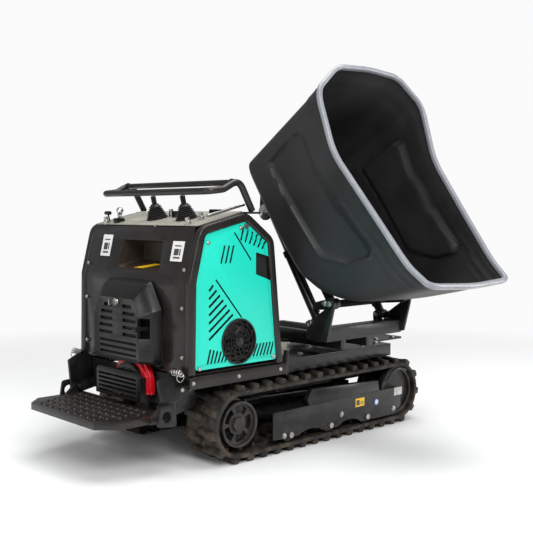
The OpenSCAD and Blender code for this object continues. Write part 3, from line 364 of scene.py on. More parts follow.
def joined(name, objs):
    """One object that holds the meshes of several."""
    bm = bmesh.new()
    materials = []
    for obj in objs:
        part = bmesh.new()
        part.from_mesh(obj.data)
        used = list(obj.data.materials)
        for m in used:
            if m not in materials:
                materials.append(m)
        for f in part.faces:
            f.material_index = materials.index(used[f.material_index])
        mesh = bpy.data.meshes.new("part")
        part.to_mesh(mesh)
        part.free()
        bm.from_mesh(mesh)
        bpy.data.meshes.remove(mesh)
        bpy.data.objects.remove(obj)
    mesh = bpy.data.meshes.new(name)
    bm.to_mesh(mesh)
    bm.free()
    result = bpy.data.objects.new(name, mesh)
    bpy.context.scene.collection.objects.link(result)
    for m in materials:
        mesh.materials.append(m)
    return result


def softened(node, material, width=None, angle=30, name=None):
    """The CAD node's own shape with its edges rounded."""
    width = width or bpy.context.scene.dumper_sizes.edge
    source = NODES[node]
    mesh = source.data.copy()
    bm = bmesh.new()
    bm.from_mesh(mesh)
    bmesh.ops.remove_doubles(bm, verts=bm.verts, dist=2e-5)
    bmesh.ops.dissolve_limit(bm, angle_limit=math.radians(1), verts=bm.verts, edges=bm.edges)
    bm.to_mesh(mesh)
    bm.free()
    obj = bpy.data.objects.new(name or node + "_piece", mesh)
    bpy.context.scene.collection.objects.link(obj)
    mesh.materials.clear()
    mesh.materials.append(MATERIALS[material])
    bevelled(obj, width, 2, angle)
    return seated(obj, source["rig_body"], material, node)


def rounded_path(points, radius, steps=8, closed=False):
    """Points with their corners turned into arcs of a radius, as near as the neighbours allow."""
    result = []
    n = len(points)
    for i, p in enumerate(points):
        if not closed and i in (0, n - 1):
            result.append(Vector(p))
            continue
        p = Vector(p)
        a = Vector(points[i - 1]) - p
        b = Vector(points[(i + 1) % n]) - p
        turn = a.angle(b)
        cut = min(radius / math.tan(turn / 2), a.length * 0.48, b.length * 0.48)
        start = p + a.normalized() * cut
        end = p + b.normalized() * cut
        for k in range(steps + 1):
            s = k / steps
            result.append((1 - s) ** 2 * start + 2 * s * (1 - s) * p + s * s * end)
    return result


def box_profile(width, depth, radius, steps=4):
    """Outline of a box section with round corners, listed anticlockwise."""
    points = []
    for cx, cy, start in ((1, 1, 0), (-1, 1, 90), (-1, -1, 180), (1, -1, 270)):
        for k in range(steps + 1):
            a = math.radians(start + 90 * k / steps)
            points.append((cx * (width / 2 - radius) + radius * math.cos(a),
                           cy * (depth / 2 - radius) + radius * math.sin(a)))
    return points


def sweep(name, path, profile, material, closed=False, side=None):
    """A closed profile carried along a path. With side given, the profile's first axis keeps to it."""
    path = [Vector(p) for p in path]
    n = len(path)
    verts = []
    turning = None
    for i, p in enumerate(path):
        ahead = path[(i + 1) % n] if closed or i < n - 1 else p
        behind = path[i - 1] if closed or i > 0 else p
        along = (ahead - behind).normalized()
        if side is not None:
            u = Vector(side)
        elif turning is None:
            u = Vector((0, 0, 1)) if abs(along.z) < 0.9 else Vector((1, 0, 0))
        else:
            u = turning
        u = (u - along * u.dot(along)).normalized()
        turning = u
        v = along.cross(u)
        verts += [p + u * a + v * b for a, b in profile]
    m = len(profile)
    faces = []
    for i in range(n if closed else n - 1):
        faces += ring_faces(i * m, (i + 1) % n * m, m)
    if not closed:
        faces.append(tuple(range(m - 1, -1, -1)))
        faces.append(tuple((n - 1) * m + k for k in range(m)))
    return outward(new_object(name, verts, faces, material))


def turned(name, outline, material, place, axis, n=40, closed=False):
    """A turned piece: outline points (distance along the axis, radius) from one end to the other."""
    axis = Vector(axis).normalized()
    u = axis.orthogonal().normalized()
    v = axis.cross(u)
    verts = []
    for along, radius in outline:
        verts += [Vector(place) + axis * along + u * a + v * b for a, b in circle(radius, n)]
    faces = []
    rows = len(outline)
    for i in range(rows if closed else rows - 1):
        faces += ring_faces(i * n, (i + 1) % rows * n, n)
    if not closed:
        faces.append(tuple(range(n)))
        faces.append(tuple((rows - 1) * n + k for k in range(n - 1, -1, -1)))
    return outward(new_object(name, verts, faces, material))


def plate(name, outline, low, high, material, flat="xz", bevel=0.001):
    """A flat plate with an outline in two axes and a thickness along the third."""
    place = {"xz": lambda p, t: (p[0], t, p[1]), "yz": lambda p, t: (t, p[0], p[1]),
             "xy": lambda p, t: (p[0], p[1], t)}[flat]
    n = len(outline)
    verts = [place(p, low) for p in outline] + [place(p, high) for p in outline]
    faces = [tuple(range(n)), tuple(range(2 * n - 1, n - 1, -1)), *ring_faces(0, n, n)]
    obj = outward(new_object(name, verts, faces, material))
    return bevelled(obj, bevel) if bevel else obj


def cuboid(name, low, high, material, bevel=0.001):
    return plate(name, [(low[0], low[1]), (high[0], low[1]), (high[0], high[1]), (low[0], high[1])],
                 low[2], high[2], material, "xy", bevel)


def cut(obj, cutter):
    """Takes the cutter out of the object."""
    modifier = obj.modifiers.new("cut", "BOOLEAN")
    modifier.operation = "DIFFERENCE"
    modifier.solver = "EXACT"
    modifier.object = cutter
    applied(obj)
    bpy.data.objects.remove(cutter)
    return obj


# ---- copies placed by geometry nodes ----
def copies_tree():
    """Puts a copy on each point, turned by its attributes up and along."""
    tree = bpy.data.node_groups.new("placed_copies", "GeometryNodeTree")
    tree.interface.new_socket("Places", in_out="INPUT", socket_type="NodeSocketGeometry")
    tree.interface.new_socket("Copy", in_out="INPUT", socket_type="NodeSocketObject")
    tree.interface.new_socket("Size", in_out="INPUT", socket_type="NodeSocketFloat")
    tree.interface.new_socket("Material", in_out="INPUT", socket_type="NodeSocketMaterial")
    tree.interface.new_socket("Copies", in_out="OUTPUT", socket_type="NodeSocketGeometry")
    add = tree.nodes.new
    link = tree.links.new
    inputs = add("NodeGroupInput").outputs
    turned_by = None
    for name, axis, pivot in (("up", "Z", "AUTO"), ("along", "X", "Z")):
        attribute = add("GeometryNodeInputNamedAttribute")
        attribute.data_type = "FLOAT_VECTOR"
        attribute.inputs["Name"].default_value = name
        align = add("FunctionNodeAlignRotationToVector")
        align.axis = axis
        align.pivot_axis = pivot
        link(attribute.outputs["Attribute"], align.inputs["Vector"])
        if turned_by:
            link(turned_by, align.inputs["Rotation"])
        turned_by = align.outputs["Rotation"]
    source = add("GeometryNodeObjectInfo")
    link(inputs["Copy"], source.inputs["Object"])
    spread = add("GeometryNodeInstanceOnPoints")
    link(inputs["Places"], spread.inputs["Points"])
    link(source.outputs["Geometry"], spread.inputs["Instance"])
    link(turned_by, spread.inputs["Rotation"])
    link(inputs["Size"], spread.inputs["Scale"])
    real = add("GeometryNodeRealizeInstances")
    link(spread.outputs["Instances"], real.inputs["Geometry"])
    coat = add("GeometryNodeSetMaterial")
    link(real.outputs["Geometry"], coat.inputs["Geometry"])
    link(inputs["Material"], coat.inputs["Material"])
    link(coat.outputs["Geometry"], add("NodeGroupOutput").inputs["Copies"])
    return tree


def placed_copies(name, places, copy, material, size=1.0):
    """A plain mesh of copies, one at each (point, up, along). The copy itself is removed."""
    tree = bpy.data.node_groups.get("placed_copies") or copies_tree()
    mesh = bpy.data.meshes.new(name)
    mesh.from_pydata([tuple(p[0]) for p in places], [], [])
    for k, label in ((1, "up"), (2, "along")):
        attribute = mesh.attributes.new(label, "FLOAT_VECTOR", "POINT")
        attribute.data.foreach_set("vector", [c for p in places for c in p[k]])
    obj = bpy.data.objects.new(name, mesh)
    bpy.context.scene.collection.objects.link(obj)
    modifier = obj.modifiers.new("copies", "NODES")
    modifier.node_group = tree
    sockets = {s.name: s.identifier for s in tree.interface.items_tree if s.in_out == "INPUT"}
    modifier[sockets["Copy"]] = copy
    modifier[sockets["Size"]] = size
    modifier[sockets["Material"]] = MATERIALS[material]
    applied(obj)
    bpy.data.objects.remove(copy)
    if not obj.data.polygons:
        raise RuntimeError(f"{name} came out empty")
    return obj


# ---- skip ----
# Corners round one half of the skip, lowered: floor corner, rim corner and the bend of the wall between
# them. Each is how far towards the mouth, half width and height. A lone number is a share up the wall.
SKIP_CORNERS = [
    ((-0.262, 0, 0.526), (-0.298, 0, 1.116), 0.13),
    ((-0.258, 0.205, 0.526), (-0.288, 0.192, 1.110), 0.13),
    ((-0.225, 0.290, 0.526), (-0.182, 0.334, 1.068), 0.13),
    ((0.060, 0.300, 0.526), (0.060, 0.324, 0.992), 0.13),
    ((0.330, 0.288, 0.534), (0.330, 0.299, 1.004), 0.13),
    ((0.424, 0.262, 0.562), (0.585, 0.278, 1.016), (0.566, 0.262, 0.750)),
    ((0.446, 0.225, 0.572), (0.694, 0.258, 1.044), (0.602, 0.240, 0.752)),
    ((0.452, 0, 0.574), (0.710, 0, 1.048), (0.612, 0, 0.752)),
]
SKIP_FLOOR = 0.522
# Outline of the panel moulded into each side wall: towards the mouth, and height
SIDE_PANEL = [(-0.140, 0.665), (-0.140, 0.872), (-0.092, 0.900), (0.036, 0.876), (0.228, 0.879),
              (0.446, 0.908), (0.466, 0.880), (0.432, 0.790), (0.325, 0.684)]


def bend3(a, b, c, s):
    return (1 - s) ** 2 * a + 2 * s * (1 - s) * b + s * s * c


def wall_point(corner, t):
    """Point up the wall at one corner, t from 0 on the floor to 1 at the rim."""
    low, rim, bend = Vector(corner[0]), Vector(corner[1]), corner[2]
    bend = low + (rim - low) * bend if isinstance(bend, float) else Vector(bend)
    inward = Vector((0.110 - low.x, -low.y, 0)).normalized()
    start = low + 0.070 * inward
    start.z = SKIP_FLOOR if low.z < 0.545 else low.z - 0.020
    join = (low + bend) / 2
    if t < 0.4:
        return bend3(start, low, join, t / 0.4)
    return bend3(join, bend, rim, (t - 0.4) / 0.6)


def skip_ring(t, arc=7, straight=26):
    """One closed ring round the skip, its corners rounded and its straight runs divided."""
    half = [wall_point(c, t) for c in SKIP_CORNERS]
    full = half + [Vector((p.x, -p.y, p.z)) for p in half[-2:0:-1]]
    n = len(full)
    ring = []
    for i, p in enumerate(full):
        a, b = full[i - 1], full[(i + 1) % n]
        start, end = p + (a - p) * 0.24, p + (b - p) * 0.24
        ring += [bend3(start, p, end, k / arc) for k in range(arc + 1)]
        reach = b + (p - b) * 0.24
        ring += [end + (reach - end) * k / straight for k in range(1, straight)]
    return ring


def edge_distance(x, z, outline):
    """Distance from a point to an outline, positive inside it."""
    best, inside = 1e9, False
    n = len(outline)
    for i, (ax, az) in enumerate(outline):
        bx, bz = outline[(i + 1) % n]
        dx, dz = bx - ax, bz - az
        s = max(0.0, min(1.0, ((x - ax) * dx + (z - az) * dz) / (dx * dx + dz * dz)))
        best = min(best, math.hypot(x - ax - s * dx, z - az - s * dz))
        if (az > z) != (bz > z) and x < ax + (z - az) / (bz - az) * dx:
            inside = not inside
    return best if inside else -best


def smooth_step(low, high, value):
    s = max(0.0, min(1.0, (value - low) / (high - low)))
    return s * s * (3 - 2 * s)


def wall_relief(p, below, side, depth):
    """How far the wall stands out: the moulded side panel, and the bead and steps under the rim."""
    relief = 0.0
    if side > 0.55:
        d = edge_distance(p.x, p.z, SIDE_PANEL)
        lip = 0.40 * math.exp(-((d + 0.004) / 0.006) ** 2)
        relief += smooth_step(0.55, 0.85, side) * depth * (lip - smooth_step(0.0, 0.008, d))
    relief += 0.0050 * smooth_step(0.060, 0.052, below)
    relief -= 0.0050 * math.exp(-((below - 0.034) / 0.0075) ** 2)
    relief += 0.0030 * math.exp(-((below - 0.086) / 0.006) ** 2)
    return relief


def tipped(p):
    """From the lowered skip's own places to the pose it rests in."""
    p = Vector((-p.y, -p.x, p.z)) - TIP_PIVOT
    return TIP_PIVOT + Matrix.Rotation(TIP_ANGLE, 3, "X") @ p


def skip_shell():
    sizes = bpy.context.scene.dumper_sizes
    rows = 66
    shares = [(k / rows) ** 0.92 for k in range(rows + 1)]
    rings = [skip_ring(t) for t in shares]
    n = len(rings[0])
    rim = rings[-1]
    outer, inner = [], []
    for i, ring in enumerate(rings):
        up, down = rings[min(i + 1, rows)], rings[max(i - 1, 0)]
        row_out, row_in = [], []
        for j, p in enumerate(ring):
            around = ring[(j + 1) % n] - ring[j - 1]
            normal = around.cross(up[j] - down[j]).normalized()
            if normal.dot(Vector((p.x - 0.15, p.y, 0))) < 0:
                normal = -normal
            below = (rim[j] - p).length
            relief = wall_relief(p, below, abs(normal.y), sizes.emboss)
            row_out.append(p + normal * relief)
            row_in.append(p + normal * (relief - sizes.wall))
        outer.append(row_out)
        inner.append(row_in)
    verts = [tipped(p) for row in outer for p in row]
    faces = [f for i in range(rows) for f in ring_faces(i * n, (i + 1) * n, n)]
    shift = len(verts)
    verts += [tipped(p) for row in inner for p in row]
    faces += [tuple(shift + k for k in reversed(f)) for f in faces]
    faces += ring_faces(rows * n, shift + rows * n, n)
    for row, before in ((outer[0], 0), (inner[0], shift)):
        middle = sum(row, Vector()) / n
        for share in (0.66, 0.33):
            here = len(verts)
            verts += [tipped(middle + (p - middle) * share) for p in row]
            faces += ring_faces(before, here, n)
            before = here
        centre = len(verts)
        verts.append(tipped(middle))
        faces += [(before + j, before + (j + 1) % n, centre) for j in range(n)]
    shell = outward(new_object("skip_shell", verts, faces, "tub_plastic"))
    seated(shell, "skip", "tub_plastic", "skip_tub", angle=60)


def skip_trim():
    """Soft edge trim pushed over the rim."""
    ring = skip_ring(1)
    n = len(ring)
    middle = sum(ring, Vector()) / n
    half = 0.0105
    squared = [[math.copysign(abs(c) ** 0.6, c) for c in pair] for pair in circle(1, 20)]
    section = [(a * half - 0.0020, b * half - 0.0030) for a, b in squared]
    verts, faces = [], []
    for j, p in enumerate(ring):
        around = (ring[(j + 1) % n] - ring[j - 1]).normalized()
        out = around.cross(Vector((0, 0, 1))).normalized()
        if out.dot(p - middle) < 0:
            out = -out
        up = out.cross(around).normalized()
        if up.z < 0:
            up = -up
        verts += [tipped(p + out * a + up * b) for a, b in section]
    m = len(section)
    for j in range(n):
        faces += ring_faces(j * m, (j + 1) % n * m, m)
    trim = outward(new_object("skip_edge_trim", verts, faces, "rim_plastic"))
    seated(trim, "skip", "rim_plastic", "skip_rim", angle=70)


class DUMPER_OT_skip(bpy.types.Operator):
    """Moulded plastic skip with its embossed sides and edge trim"""
    bl_idname = "dumper.skip"
    bl_label = "Skip"

    def execute(self, context):
        skip_shell()
        skip_trim()
        return {"FINISHED"}


# ---- tracks ----
def belt_point(s, h):
    """Point at a length along the middle of the band, h outward from it, and the outward direction."""
    base = IDLER_X - SPROCKET_X
    arc = math.pi * BELT_R
    s %= 2 * (base + arc)
    if s < base:
        centre, a, x = None, -90.0, SPROCKET_X + s
    elif s < base + arc:
        centre, a, x = IDLER_X, math.degrees((s - base) / BELT_R) - 90, None
    elif s < 2 * base + arc:
        centre, a, x = None, 90.0, IDLER_X - (s - base - arc)
    else:
        centre, a, x = SPROCKET_X, math.degrees((s - 2 * base - arc) / BELT_R) + 90, None
    out = Vector((math.cos(math.radians(a)), 0, math.sin(math.radians(a))))
    middle = Vector((x if centre is None else centre, 0, HUB_Z))
    return middle + out * (BELT_R + h), out


def belt_band(side):
    """The rubber band, thick in the middle and thin along its ribbed edges."""
    y = side * TRACK_Y
    half = (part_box("track_belt_left")[1].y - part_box("track_belt_left")[0].y) / 2
    t = BELT_T / 2
    section = [(-half, -t + 0.003), (-half + 0.003, -t), (half - 0.003, -t), (half, -t + 0.003),
               (half, t - 0.003), (half - 0.004, t), (-half + 0.004, t), (-half, t - 0.003)]
    steps = LINKS * 8
    m = len(section)
    verts, faces = [], []
    for i in range(steps):
        for across, h in section:
            p, _ = belt_point(BELT_LENGTH * i / steps, h)
            verts.append((p.x, y + across, p.z))
        faces += ring_faces(i * m, (i + 1) % steps * m, m)
    return outward(new_object(f"belt_band_{side}", verts, faces, "track_rubber"))


def tread_lug():
    """Half of a chevron lug: a tapered bar that widens to a square shoulder at the belt's edge."""
    lean = 0.013
    foot = [(-0.014, 0.0), (0.014, 0.0), (0.014 + lean, 0.056), (0.019 + lean, 0.066), (0.019 + lean, 0.0855),
            (-0.015 + lean, 0.0855), (-0.015 + lean, 0.062), (-0.014 + lean * 0.9, 0.056)]
    middle = [sum(p[k] for p in foot) / len(foot) for k in (0, 1)]
    verts = [(x, y, -0.002) for x, y in foot]
    verts += [(x + (middle[0] - x) * 0.20, y + (middle[1] - y) * 0.05, LUG_H - 0.0002) for x, y in foot]
    n = len(foot)
    faces = [tuple(range(n - 1, -1, -1)), tuple(range(n, 2 * n)), *ring_faces(0, n, n)]
    return bevelled(outward(new_object("lug_copy", verts, faces, "track_rubber")), 0.0022, 2, 25)


def guide_horn():
    """Guide lug inside the band that runs beside the sprocket and the rollers."""
    foot = [(-0.012, -0.009), (0.012, -0.009), (0.012, 0.009), (-0.012, 0.009)]
    verts = [(x, y, -0.002) for x, y in foot] + [(x * 0.62, y * 0.72, 0.0175) for x, y in foot]
    faces = [(3, 2, 1, 0), (4, 5, 6, 7), *ring_faces(0, 4, 4)]
    return bevelled(outward(new_object("horn_copy", verts, faces, "track_rubber")), 0.002, 2, 25)


def belt_places(side, shift, across, h, inward=False, turn=1):
    """One place for each link: its point, its outward or inward direction, and which way it runs."""
    places = []
    for i in range(LINKS):
        p, out = belt_point(BELT_LENGTH * (i + 0.5 + shift) / LINKS, h)
        along = Vector((-out.z, 0, out.x)) * turn
        places.append(((p.x, side * TRACK_Y + across, p.z), -out if inward else out, along))
    return places


def track(side):
    parts = [belt_band(side)]
    for copies, shift, turn in (("lugs_a", 0, 1), ("lugs_b", 0.5, -1)):
        places = belt_places(side, shift, 0, BELT_T / 2, turn=turn)
        parts.append(placed_copies(copies, places, tread_lug(), "track_rubber"))
    for across in (-0.029, 0.029):
        places = belt_places(side, 0, across, -BELT_T / 2, inward=True)
        parts.append(placed_copies("horns", places, guide_horn(), "track_rubber"))
    name = side_name(side)
    seated(joined(f"rubber_track_{name}", parts), "chassis", "track_rubber", f"track_belt_{name}", angle=35)


class DUMPER_OT_tracks(bpy.types.Operator):
    """Rubber tracks with their chevron lugs and guide horns"""
    bl_idname = "dumper.tracks"
    bl_label = "Tracks"

    def execute(self, context):
        track(-1)
        track(1)
        return {"FINISHED"}


class DUMPER_OT_running_gear(bpy.types.Operator):
    """Wheels, rollers, track frames and their guards, with softened edges"""
    bl_idname = "dumper.running_gear"
    bl_label = "Running gear"

    def execute(self, context):
        for side in ("right", "left"):
            for kind in ("sprocket", "idler"):
                softened(f"{kind}_{side}", "cast_black", 0.0018)
            for i in (1, 2, 3):
                softened(f"roller_{side}_{i}", "cast_black", 0.0016)
            softened(f"track_frame_{side}", "black_paint", 0.0022)
        softened("track_guards", "black_paint")
        softened("drive_motors", "cast_black")
        return {"FINISHED"}


# ---- cabinet ----
def cab_shape(low):
    """Outer outline of a side frame in X and Z, from its rear foot round to its front foot."""
    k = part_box("side_frame_right")[1].z
    return [(REAR - (0.697 - low) * 0.015 + 0.005, low), (REAR + 0.005, 0.697), (REAR + 0.054, k - 0.055),
            (REAR + 0.282, k), (REAR + 0.422, k - 0.101), (REAR + 0.473 + (DECK_TOP - low) * 0.1, low)]


def inset(points, d):
    """Outline moved to its right hand side by d; its end points move square to their own edges."""
    result = []
    n = len(points)
    for i, p in enumerate(points):
        p = Vector(p)
        edges = [e for e in (p - Vector(points[i - 1]) if i else None,
                             Vector(points[i + 1]) - p if i < n - 1 else None) if e]
        normals = [Vector((e.y, -e.x)).normalized() for e in edges]
        m = sum(normals, Vector((0, 0))).normalized()
        result.append(p + m * d / m.dot(normals[0]))
    return result


def side_frame(side):
    name = side_name(side)
    width = FRAME_OUT - FRAME_IN
    line = inset(cab_shape(DECK_TOP + 0.0005), 0.016)
    y = side * (FRAME_OUT + FRAME_IN) / 2
    path = rounded_path([(p.x, y, p.y) for p in line], 0.045, 8)
    frame_tube = sweep(f"bent_frame_{name}", path, box_profile(width, 0.032, 0.0085), "frame_paint",
                       side=(0, 1, 0))
    seated(frame_tube, "chassis", "frame_paint", f"side_frame_{name}", angle=40)


def slot_cutter(a, b, width):
    a, b = Vector(a), Vector(b)
    along = (b - a).normalized() * width / 2
    across = Vector((-along.y, along.x))
    outline = [a - along - across, b + along - across, b + along + across, a - along + across]
    return [(REAR + p.x, p.y) for p in outline]


def panel_slots():
    """Slots of a side panel: each run gives both ends from the rear corner, and a width, in millimetres."""
    mm = 0.001
    runs = [((169 + 22 * i, 822), (153 + 22 * i, 764), 5.5) for i in range(3)]
    runs += [((219, 872), (300, 771), 4.5), ((129, 699), (252, 555), 4.5)]
    runs += [((262 + 25 * i, 890 - 9 * i), (251 + 22 * i, 848 - 7 * i), 6) for i in range(6)]
    runs += [((111 + 16 * i, 678 - 19 * i), (98, 664 - 30 * i), 6.5) for i in range(7)]
    runs += [((100 + 17 * i, 441 - 4 * i), (88 + 17 * i, 396), 6) for i in range(6)]
    runs += [((318 + 17 * i, 441), (298 + 18 * i, 400), 6) for i in range(7)]
    return [slot_cutter([c * mm for c in a], [c * mm for c in b], 1.5 * w * mm) for a, b, w in runs]


def prism(name, outlines, low, high):
    """Several closed outlines in X and Z, each carried from one Y to another."""
    verts, faces = [], []
    for outline in outlines:
        n, s = len(outline), len(verts)
        verts += [(p[0], low, p[1]) for p in outline] + [(p[0], high, p[1]) for p in outline]
        faces += [tuple(s + k for k in range(n)), tuple(s + k for k in range(2 * n - 1, n - 1, -1))]
        faces += ring_faces(s, s + n, n)
    return outward(new_object(name, verts, faces, "painted_shade_black"))


def side_panel(side):
    """Pressed sheet panel: a folded edge, a raised middle and its rows of slots."""
    name = side_name(side)
    edge = inset(cab_shape(DECK_TOP - 0.020), 0.033)
    edge[0].y = edge[-1].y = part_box(f"side_panel_{name}")[0].z
    outer = rounded_path([(p.x, p.y) for p in edge], 0.016, 4, closed=True)
    box_middle = Vector((sum(p.x for p in outer) / len(outer), sum(p.y for p in outer) / len(outer)))
    rings = [(0.024, PANEL_OUT + 0.0030), (0.0155, PANEL_OUT - 0.0015), (0.002, PANEL_OUT - 0.0015),
             (0.002, PANEL_OUT - 0.003), (0.0, PANEL_OUT - 0.003), (0.0, PANEL_OUT), (0.013, PANEL_OUT),
             (0.022, PANEL_OUT + 0.0045)]
    n = len(outer)
    loops = []
    for d, y in rings:
        shrunk = [p + (box_middle - p).normalized() * d * 1.15 for p in outer]
        loops.append([(p.x, side * y, p.y) for p in shrunk])
    verts = [v for loop in loops for v in loop]
    faces = [tuple(range(n)), tuple((len(loops) - 1) * n + k for k in range(n - 1, -1, -1))]
    for i in range(len(loops) - 1):
        faces += ring_faces(i * n, (i + 1) * n, n)
    panel = outward(new_object(f"pressed_panel_{name}", verts, faces, "teal_paint"))
    hand = [(REAR + x, z) for x, z in ((0.327, 0.713), (0.327, 0.798), (0.412, 0.776), (0.418, 0.682))]
    fan_low, fan_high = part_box("fan_guard")
    fan_x, fan_z = (fan_low.x + fan_high.x) / 2, (fan_low.z + fan_high.z) / 2
    fan_r = (fan_high.x - fan_low.x) / 2 - 0.006
    ring = [(fan_x + a, fan_z + b) for a, b in circle(fan_r, 64)]
    low, high = sorted((side * (PANEL_OUT - 0.02), side * (PANEL_OUT + 0.02)))
    cut(panel, prism("slots", panel_slots(), low, high))
    cut(panel, prism("holes", [hand, ring], low, high))
    bevelled(panel, 0.0007, 1, 40)
    seated(panel, "chassis", "teal_paint", f"side_panel_{name}", angle=25)
    # A near black sheet just inside the panel, seen through its slots: painted shade of the cabinet's inside.
    # On the fan side it has a hole for the fan.
    low, high = sorted((side * (PANEL_OUT - 0.012), side * (PANEL_OUT - 0.010)))
    inside_shade = prism(f"dark_baffle_{name}", [[(p.x, p.y) for p in inset(edge, 0.004)]], low, high)
    if side < 0:
        cut(inside_shade, prism("fan_hole", [ring], -PANEL_OUT - 0.02, -PANEL_OUT + 0.02))
    seated(inside_shade, "chassis", "black_plastic", angle=30)


def fan_cover():
    """Moulded fan grille: rings, curved ribs and a hub."""
    low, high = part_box("fan_guard")
    x, z, y = (low.x + high.x) / 2, (low.z + high.z) / 2, -PANEL_OUT - 0.004
    r = (high.x - low.x) / 2
    parts = []
    for k in range(6):
        radius = r - 0.004 - k * 0.0145
        path = [(x + a, y, z + b) for a, b in circle(radius, 56)]
        width = 0.0085 if k == 0 else 0.0032
        parts.append(sweep(f"ring_{k}", path, box_profile(width, width * 0.8, width * 0.25), "black_plastic",
                           True, side=(0, 1, 0)))
    for k in range(12):
        a0 = 2 * math.pi * k / 12
        path = []
        for i in range(9):
            s = i / 8
            a = a0 + 0.55 * s * s
            radius = 0.016 + (r - 0.022) * s
            path.append((x + radius * math.cos(a), y - 0.001, z + radius * math.sin(a)))
        parts.append(sweep(f"rib_{k}", path, circle(0.0019, 8), "black_plastic"))
    hub = [(-0.001, 0.001), (-0.001, 0.020), (0.005, 0.0195), (0.0075, 0.016), (0.008, 0.002)]
    parts.append(turned("hub", hub, "black_plastic", (x, y, z), (0, -1, 0), 32))
    seated(joined("fan_grille", parts), "chassis", "black_plastic", "fan_guard", angle=40)


def rear_sheet():
    """Rear wall: a lower part, the tilted upper part with its window, and the lip at the console.

    Its section follows the folds outside and is closed straight behind them."""
    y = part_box("rear_panel")[1].y
    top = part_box("side_frame_right")[1].z - 0.055
    x0 = REAR + 0.008
    line = [(x0 - 0.001, DECK_TOP + 0.002), (x0, 0.697), (x0 + 0.0355, 0.845), (x0 + 0.040, 0.865),
            (REAR + 0.057, top)]
    verts = [(x, side * y, z) for x, z in line for side in (-1, 1)]
    n = len(verts)
    faces = [(i, i + 1, (i + 3) % n, (i + 2) % n) for i in range(0, n, 2)]
    faces += [tuple(range(0, n, 2)), tuple(range(1, n, 2))]
    sheet = outward(new_object("rear_sheet", verts, faces, "frame_paint"))
    window = [(-0.165, 0.728), (-0.158, 0.842), (0.098, 0.842), (0.105, 0.728)]
    window = rounded_path(window, 0.016, 5, closed=True)
    cutter = plate("window", [(p.x, p.y) for p in window], REAR - 0.05, REAR + 0.1, "painted_shade_black", "yz", 0)
    cut(sheet, cutter)
    opening = [(-0.205, 0.30), (-0.205, 0.585), (-0.14, 0.640), (0.14, 0.640), (0.205, 0.585), (0.205, 0.30)]
    cut(sheet, plate("opening", opening, REAR - 0.05, REAR + 0.04, "painted_shade_black", "yz", 0))
    bevelled(sheet, 0.0012, 2, 30)
    seated(sheet, "chassis", "frame_paint", "rear_panel", angle=25)
    return window


def window_funnel(window):
    """Moulded pocket behind the window, sloping in from the sheet."""
    back = [(-0.150, 0.756), (-0.145, 0.832), (0.088, 0.832), (0.092, 0.756)]
    back = rounded_path(back, 0.012, 5, closed=True)
    n = len(window)
    verts = [(REAR + 0.0125 + (p.y - 0.697) * 0.24, p.x, p.y) for p in window]
    verts += [(REAR + 0.128, p.x, p.y) for p in back]
    faces = [*ring_faces(0, n, n), tuple(range(n, 2 * n))]
    pocket = walled(new_object("window_pocket", verts, faces, "brown_plastic"), 0.003)
    seated(pocket, "chassis", "brown_plastic", "rear_recess", angle=30)


class DUMPER_OT_cabinet(bpy.types.Operator):
    """Bent frames, pressed side panels, rear sheet with its window, and the fan grille"""
    bl_idname = "dumper.cabinet"
    bl_label = "Cabinet"

    def execute(self, context):
        for side in (-1, 1):
            side_frame(side)
            side_panel(side)
        fan_cover()
        window_funnel(rear_sheet())
        softened("console_top", "console_paint")
        softened("front_cover", "black_paint")
        softened("cooling_fan", "black_plastic", 0.0006)
        return {"FINISHED"}


